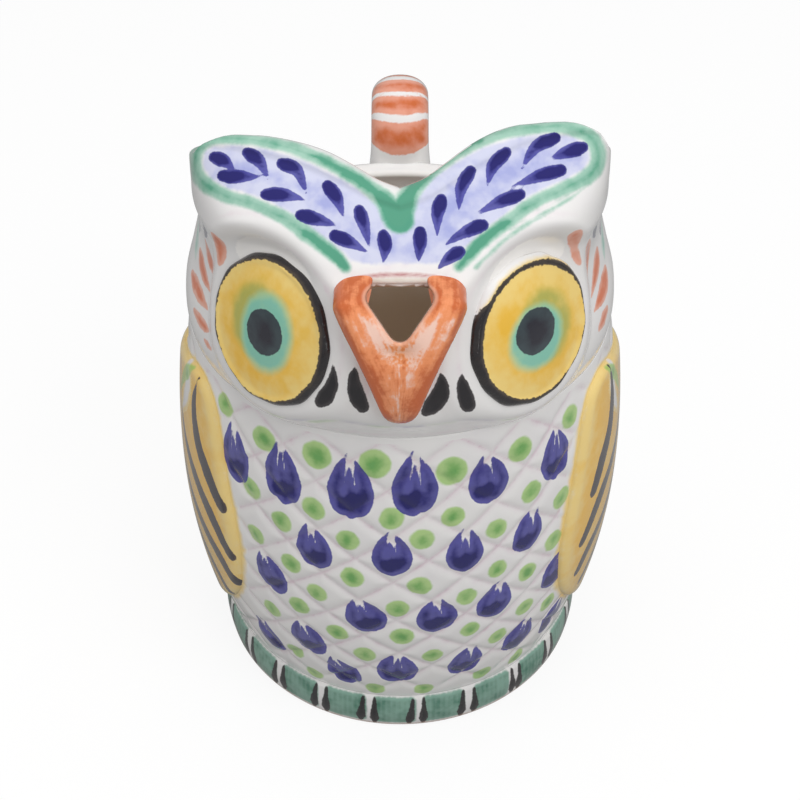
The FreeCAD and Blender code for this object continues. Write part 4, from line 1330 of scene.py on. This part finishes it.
# Stripes as depth and height from the side, with half widths; the right wing's lie a little further back.
STRIPES = (
    (((-18.8, 78.8), (-18.4, 72.0), (-20.5, 65.0), (-23.8, 60.2), (-27.0, 54.8)), (0.2, 1.2, 1.9, 2.2, 1.7)),
    (((-10.0, 66.5), (-13.5, 60.0), (-18.5, 54.8), (-24.2, 49.6), (-29.0, 42.9)), (0.2, 1.2, 1.9, 2.1, 1.5)),
    (((-7.0, 57.0), (-12.5, 49.5), (-19.1, 42.9), (-24.9, 38.0), (-28.3, 33.4)), (0.2, 1.2, 1.9, 2.0, 1.5)),
    (((-2.0, 50.0), (-8.0, 42.5), (-14.1, 36.8), (-20.4, 31.4), (-24.6, 26.8)), (0.2, 1.1, 1.7, 1.8, 1.3)),
    (((4.0, 46.0), (-2.0, 38.0), (-8.5, 31.5), (-14.6, 26.2), (-18.6, 22.4)), (0.2, 1.1, 1.6, 1.7, 1.2)),
    (((12.0, 47.0), (6.5, 38.0), (0.5, 30.5), (-5.0, 25.0)), (0.2, 1.2, 1.6, 1.2)),
)
STRIPE_SHIFTS = {"left": 0.0, "right": 3.6}


def on_side(side, line):
    """Places on the body's skin at depths and heights seen from a side."""
    reach = np.sqrt(body_radius(line[:, 1]) ** 2 - line[:, 0] ** 2)
    return np.stack((side * reach, line[:, 0], line[:, 1]), axis=1)


def wing_stroke(field, places, side, path, widths):
    """A brush stroke on a wing, just outside the skin that it is raised from."""
    brush(field, places, on_side(side, smooth_line(path, steps=6)) * (1.02, 1.02, 1), widths)


def make_wing(label, side):
    """One wing as a closed panel that lies on the body."""
    outline = smooth_line(wing_outline[::12], closed=True, steps=30)
    spots = np.linspace(0, len(outline), WING_COLUMNS, endpoint=False)
    outline = np.vstack((outline, outline[:1]))
    outline = np.stack([np.interp(spots, np.arange(len(outline)), outline[:, k]) for k in (0, 1)], axis=1)
    centre = outline.mean(axis=0)
    shares = np.concatenate((np.linspace(0.02, 0.9, 46), np.linspace(0.91, 1.012, 16)))
    flat = (centre + shares[:, None, None] * (outline - centre)).reshape(-1, 2)
    gap = outline_field(flat, wing_outline)
    rounded = np.sqrt(np.clip(1 - (1 - np.clip(gap / WING_ROUNDING, 0, 1)) ** 2, 0, 1))
    lift = -WING_SINK + (WING_RELIEF + WING_SINK) * rounded + np.minimum(gap, 0) * 0.8
    back_shares = np.linspace(1.012, 0.02, 8)[1:]
    back_flat = (centre + back_shares[:, None, None] * (outline - centre)).reshape(-1, 2)
    flat = np.vstack((flat, back_flat))
    lift = np.concatenate((lift, np.full(len(back_flat), -WING_DEPTH)))
    radius = body_radius(flat[:, 1])
    slope = (body_radius(flat[:, 1] + 0.1) - body_radius(flat[:, 1] - 0.1)) / 0.2
    grid = on_side(side, flat)
    normal = np.stack((grid[:, 0] / radius, flat[:, 0] / radius, -slope), axis=1)
    grid = grid + normal / np.linalg.norm(normal, axis=1)[:, None] * lift[:, None]
    rows = len(shares) + len(back_shares)
    wing = make_piece(label + "_wing_panel", grid, capped_faces(rows, WING_COLUMNS), label + "_wing")
    places = places_of(wing)
    gap = outline_field(places[:, 1:], wing_outline)
    fields = blank(places, "black", "white", "green")
    for path, widths in STRIPES:
        path = np.array(path) + rng.normal(0, 0.2, (len(path), 2)) + (STRIPE_SHIFTS[label], 0)
        wing_stroke(fields["black"], places, side, path, widths)
    bare = ((-13.5, 78.5), (-14.6, 74.0), (-13.5, 69.0), (-11.5, 65.0))
    wing_stroke(fields["white"], places, side, bare, (0.9, 1.5, 1.2, 0.2))
    leaf = ((-16.2, 79.0), (-13.8, 76.0), (-11.2, 72.0), (-8.6, 66.5))
    wing_stroke(fields["green"], places, side, leaf, (0.3, 1.5, 1.0, 0.25))
    store(wing, "black", fields["black"])
    store(wing, "yellow", np.minimum(gap + 0.4, np.where(fields["white"] > -1, -fields["white"], 9.0)))
    store(wing, "green", fields["green"])
    # Painted shade: a mauve line along the wing's edge, where it stands off the body.
    store(wing, "mauve", np.where(gap < 1.4, 0.25 - np.abs(gap - 0.5), FAR))
    return wing


wing_glaze = glaze("wing_glaze", [MAUVE_POOLING_AND_SHADE, YELLOW, GREEN, STRIPE_BLACK])
for wing_label, wing_side in SIDES.items():
    make_wing(wing_label, wing_side).data.materials.append(wing_glaze)


# Foot ring: a band of green panels

PANELS_ROUND = 23
FOOT_COLUMNS = 690


def ring_path(bearing, start, end, lean):
    """Places on the foot ring from one height to another, leaning by some degrees."""
    return at(np.radians(bearing + lean * np.linspace(0, 1, 6)), np.linspace(start, end, 6), FOOT_RADIUS)


def make_foot():
    """The foot ring as a closed turned band."""
    low, high = 1.0, 1.3
    top = FOOT_HEIGHT - high
    profile = [(FOOT_RADIUS - low, 0.0), *arc((FOOT_RADIUS - low, low), low, -math.pi / 2, 0, 5)]
    for height in np.linspace(low, top, 20)[1:]:
        profile.append((FOOT_RADIUS + 0.35 * math.sin(math.pi * (height - low) / (top - low)), height))
    profile += arc((FOOT_RADIUS - high, top), high, 0, math.pi / 2, 7)
    profile += [(FOOT_RADIUS - 3.0, FOOT_HEIGHT)]
    profile += [(FOOT_INNER_RADIUS, height) for height in (FOOT_HEIGHT, 4.6, 1.0)]
    profile += [(FOOT_INNER_RADIUS + 0.3, 0.3), (FOOT_INNER_RADIUS + 1.0, 0.0), (FOOT_RADIUS - 3.0, 0.0)]
    profile = np.array(profile)
    turn = np.arange(FOOT_COLUMNS) * TURN / FOOT_COLUMNS
    grid = at(turn[None, :], profile[:, 1:], profile[:, :1])
    faces = grid_faces(len(profile), FOOT_COLUMNS, True)
    foot = make_piece("foot_band", grid.reshape(-1, 3), faces, "foot_ring")
    places = places_of(foot)
    fields = blank(places, "teal", "black")
    step = 360 / PANELS_ROUND
    for panel in range(PANELS_ROUND):
        middle = 6.6 + panel * step + rng.normal(0, 0.6)
        half = 1.75 + rng.normal(0, 0.2)
        for way in (-1, 1):
            lean = way * rng.uniform(-0.5, 1.4)
            path = ring_path(middle + way * half, 9.4, 1.1 + rng.uniform(0, 0.9), lean)
            brush(fields["black"], places, path, (0.25, 0.45, 0.6, 0.9, 1.05, 0.5))
        for share in np.linspace(0.10, 0.90, 7):
            path = ring_path(middle + half + (step - 2 * half) * share, 8.2, 2.5, 0.0)
            brush(fields["teal"], places, path, (1.15, 1.3, 1.2))
    outer = radius_of(places) > FOOT_RADIUS - SKIN_DEPTH
    store_where(foot, outer, fields)
    store(foot, "bare", np.where(outer, 1.1 - places[:, 2], 2.0))
    return foot


make_foot().data.materials.append(glaze("foot_glaze", [FOOT_TEAL, FOOT_BLACK, BARE]))
floor_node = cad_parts["base_floor"]
floor_node.data.materials.clear()
floor_node.data.materials.append(glaze("floor_clay", [], ground=FLOOR_CLAY, roughness=BARE_ROUGHNESS))


# Handle: a strap that loops down from the rear rim

HANDLE_WIDTH = 11.8
HANDLE_THICKNESS = 8.6
HANDLE_BEND_RADIUS = 7.4
HANDLE_BACK_RADIUS = 30.0
HANDLE_BEND = math.radians(130)
HANDLE_BACK = math.radians(95)
HANDLE_SQUARENESS = 2.15
HANDLE_DEPTH = 0.925 * NECK_RADIUS + HANDLE_THICKNESS / 2 - 0.8
HANDLE_SHOULDER = NECK_HEIGHT + REAR_RIM_RISE + 0.5
HANDLE_ROOT = HANDLE_SHOULDER - 6.0
HANDLE_TAIL = 22.0
HANDLE_LOW_END = 60
# Where the wide bands start and end on the bend, in degrees; short ones follow.
HANDLE_BANDS = ((47, 68), (74, 95))
SHORT_BANDS_FROM = 105
SHORT_BAND = 3.4
SHORT_BAND_STEP = 5.6


def handle_line(spacing=0.55):
    """Depth and height of places on the handle's middle line, each with the outward way in its plane."""
    spots = [(HANDLE_DEPTH, height, -1.0, 0.0) for height in np.arange(HANDLE_ROOT, HANDLE_SHOULDER, spacing)]
    place = np.array((HANDLE_DEPTH, HANDLE_SHOULDER))
    start = math.pi
    for radius, sweep in ((HANDLE_BEND_RADIUS, HANDLE_BEND), (HANDLE_BACK_RADIUS, HANDLE_BACK)):
        centre = place - radius * np.array((math.cos(start), math.sin(start)))
        for angle in np.arange(start, start - sweep, -spacing / radius):
            way = np.array((math.cos(angle), math.sin(angle)))
            spots.append((*(centre + way * radius), *way))
        start -= sweep
        way = np.array((math.cos(start), math.sin(start)))
        place = centre + way * radius
    for along in np.arange(0, HANDLE_TAIL, spacing):
        spots.append((*(place + along * np.array((way[1], -way[0]))), *way))
    return np.array(spots)


def make_handle():
    """The strap as a closed tube, wider where it joins the jug."""
    line = handle_line()
    count = 84
    turn = np.arange(count) * TURN / count
    power = 2 / HANDLE_SQUARENESS
    across = np.sign(np.cos(turn)) * np.abs(np.cos(turn)) ** power * HANDLE_WIDTH / 2
    outwards = np.sign(np.sin(turn)) * np.abs(np.sin(turn)) ** power * HANDLE_THICKNESS / 2
    length = length_along(line[:, :2])
    tail_gap = np.maximum(line[:, 0] - body_radius(line[:, 1]), 0)
    low_end = line[:, 1] < HANDLE_LOW_END
    flare = 0.10 * np.exp(-(length / 5.0) ** 2) + 0.20 * np.exp(-(tail_gap / 4.0) ** 2) * low_end
    grid = np.zeros((len(line), count, 3))
    grid[..., 0] = across * (1 + flare[:, None])
    grid[..., 1] = line[:, :1] + outwards * (1 + flare[:, None]) * line[:, 2:3]
    grid[..., 2] = line[:, 1:2] + outwards * (1 + flare[:, None]) * line[:, 3:4]
    reach = np.hypot(grid[..., 0], grid[..., 1])
    deepest = body_radius(grid[..., 2]) - WALL + 1.0
    push = np.where(grid[..., 2] < HANDLE_LOW_END, np.maximum(deepest / reach, 1), 1)
    grid[..., :2] *= push[..., None]
    handle = make_piece("strap_handle", grid.reshape(-1, 3), capped_faces(len(line), count), "handle")
    along = np.repeat(length, count)
    arch = 1.1 * (np.tile(across, len(line)) / (HANDLE_WIDTH / 2)) ** 2
    bend_start = HANDLE_SHOULDER - HANDLE_ROOT
    per_angle = HANDLE_BEND_RADIUS * math.pi / 180
    bands = [(bend_start + 0.9, bend_start + 39 * per_angle)]
    bands += [(bend_start + low * per_angle, bend_start + high * per_angle) for low, high in HANDLE_BANDS]
    for start in np.arange(bend_start + SHORT_BANDS_FROM * per_angle, length[-1], SHORT_BAND_STEP):
        bands.append((start, start + SHORT_BAND))
    orange = np.full(len(along), FAR)
    outer_side = np.tile(outwards, len(line)) > -1.5
    for low, high in bands:
        spot = along + arch * np.where(low > bend_start, -1, 0.4)
        orange = np.maximum(orange, np.minimum(spot - low, high - spot))
    side_gap = HANDLE_WIDTH / 2 - 0.35 - np.abs(np.tile(across, len(line)))
    orange = np.minimum(orange, side_gap + 0.4)
    store(handle, "orange", np.where(outer_side, orange, FAR))
    return handle


make_handle().data.materials.append(glaze("handle_glaze", [BAND_ORANGE]))


# Floor, light and camera

FLOOR_HALF = 1.6
FLOOR_TONE = (0.42, 0.42, 0.42)
FLOOR_WHITE = 1.25
FLOOR_WHITE_SHARE = 0.70
WORLD_LIGHT = 0.40


def floor_material():
    """A white floor that keeps the object's shadow."""
    n = Nodes("floor_white")
    diffuse = n.put(n.add("ShaderNodeBsdfDiffuse"), Color=FLOOR_TONE)
    white = n.put(n.add("ShaderNodeEmission"), Color=(1.0, 1.0, 1.0), Strength=FLOOR_WHITE)
    path = n.add("ShaderNodeLightPath").outputs
    both = n.add("ShaderNodeMixShader")
    seen = n.maths("MAXIMUM", path["Is Camera Ray"], path["Is Transmission Ray"])
    sockets = (n.times(seen, FLOOR_WHITE_SHARE), diffuse.outputs[0], white.outputs[0])
    for socket, value in zip(both.inputs, sockets):
        n.tree.links.new(value, socket)
    return n.surface(both.outputs[0])


floor_mesh = bpy.data.meshes.new("floor")
corners = [(x * FLOOR_HALF, y * FLOOR_HALF, 0) for x, y in ((-1, -1), (1, -1), (1, 1), (-1, 1))]
floor_mesh.from_pydata(corners, [], [(0, 1, 2, 3)])
floor = bpy.data.objects.new("floor", floor_mesh)
bpy.context.scene.collection.objects.link(floor)
floor.data.materials.append(floor_material())

world = bpy.data.worlds.new("studio")
bpy.context.scene.world = world
world.use_nodes = True
background = world.node_tree.nodes["Background"]
light_path = world.node_tree.nodes.new("ShaderNodeLightPath")
strength = world.node_tree.nodes.new("ShaderNodeMapRange")
strength.inputs["To Min"].default_value = WORLD_LIGHT
strength.inputs["To Max"].default_value = 1.0
world.node_tree.links.new(light_path.outputs["Is Camera Ray"], strength.inputs["Value"])
world.node_tree.links.new(strength.outputs[0], background.inputs["Strength"])
background.inputs["Color"].default_value = (1, 1, 1, 1)


def softbox(name, place, size, power, mirrored=False):
    """A soft lamp that looks at the jug's middle; only a mirrored one shows as a glint in the glaze."""
    data = bpy.data.lights.new(name, "AREA")
    data.shape = "RECTANGLE"
    data.size, data.size_y = size
    data.energy = power
    lamp = bpy.data.objects.new(name, data)
    lamp.location = place
    lamp.rotation_euler = (Vector((0, 0, 0.06)) - Vector(place)).to_track_quat("-Z", "Y").to_euler()
    lamp.visible_glossy = mirrored
    bpy.context.scene.collection.objects.link(lamp)


softbox("key", (0.38, -0.42, 0.62), (0.50, 0.40), 2.5)
softbox("fill", (-0.60, -0.30, 0.40), (0.50, 0.60), 0.9)
softbox("top", (0.0, 0.02, 0.80), (0.60, 0.50), 2.2)
softbox("window", (0.30, -0.62, 0.22), (0.03, 0.09), 0.06, True)

camera_data = bpy.data.cameras.new("camera")
camera_data.lens = CAMERA_LENS
camera_data.sensor_width = SENSOR_WIDTH
camera_data.clip_start = 0.01
camera = bpy.data.objects.new("camera", camera_data)
camera.location = CAMERA_PLACE
camera.rotation_euler = (math.radians(90 - CAMERA_PITCH), 0, 0)
bpy.context.scene.collection.objects.link(camera)
bpy.context.scene.camera = camera
bpy.context.scene.view_settings.view_transform = "Standard"
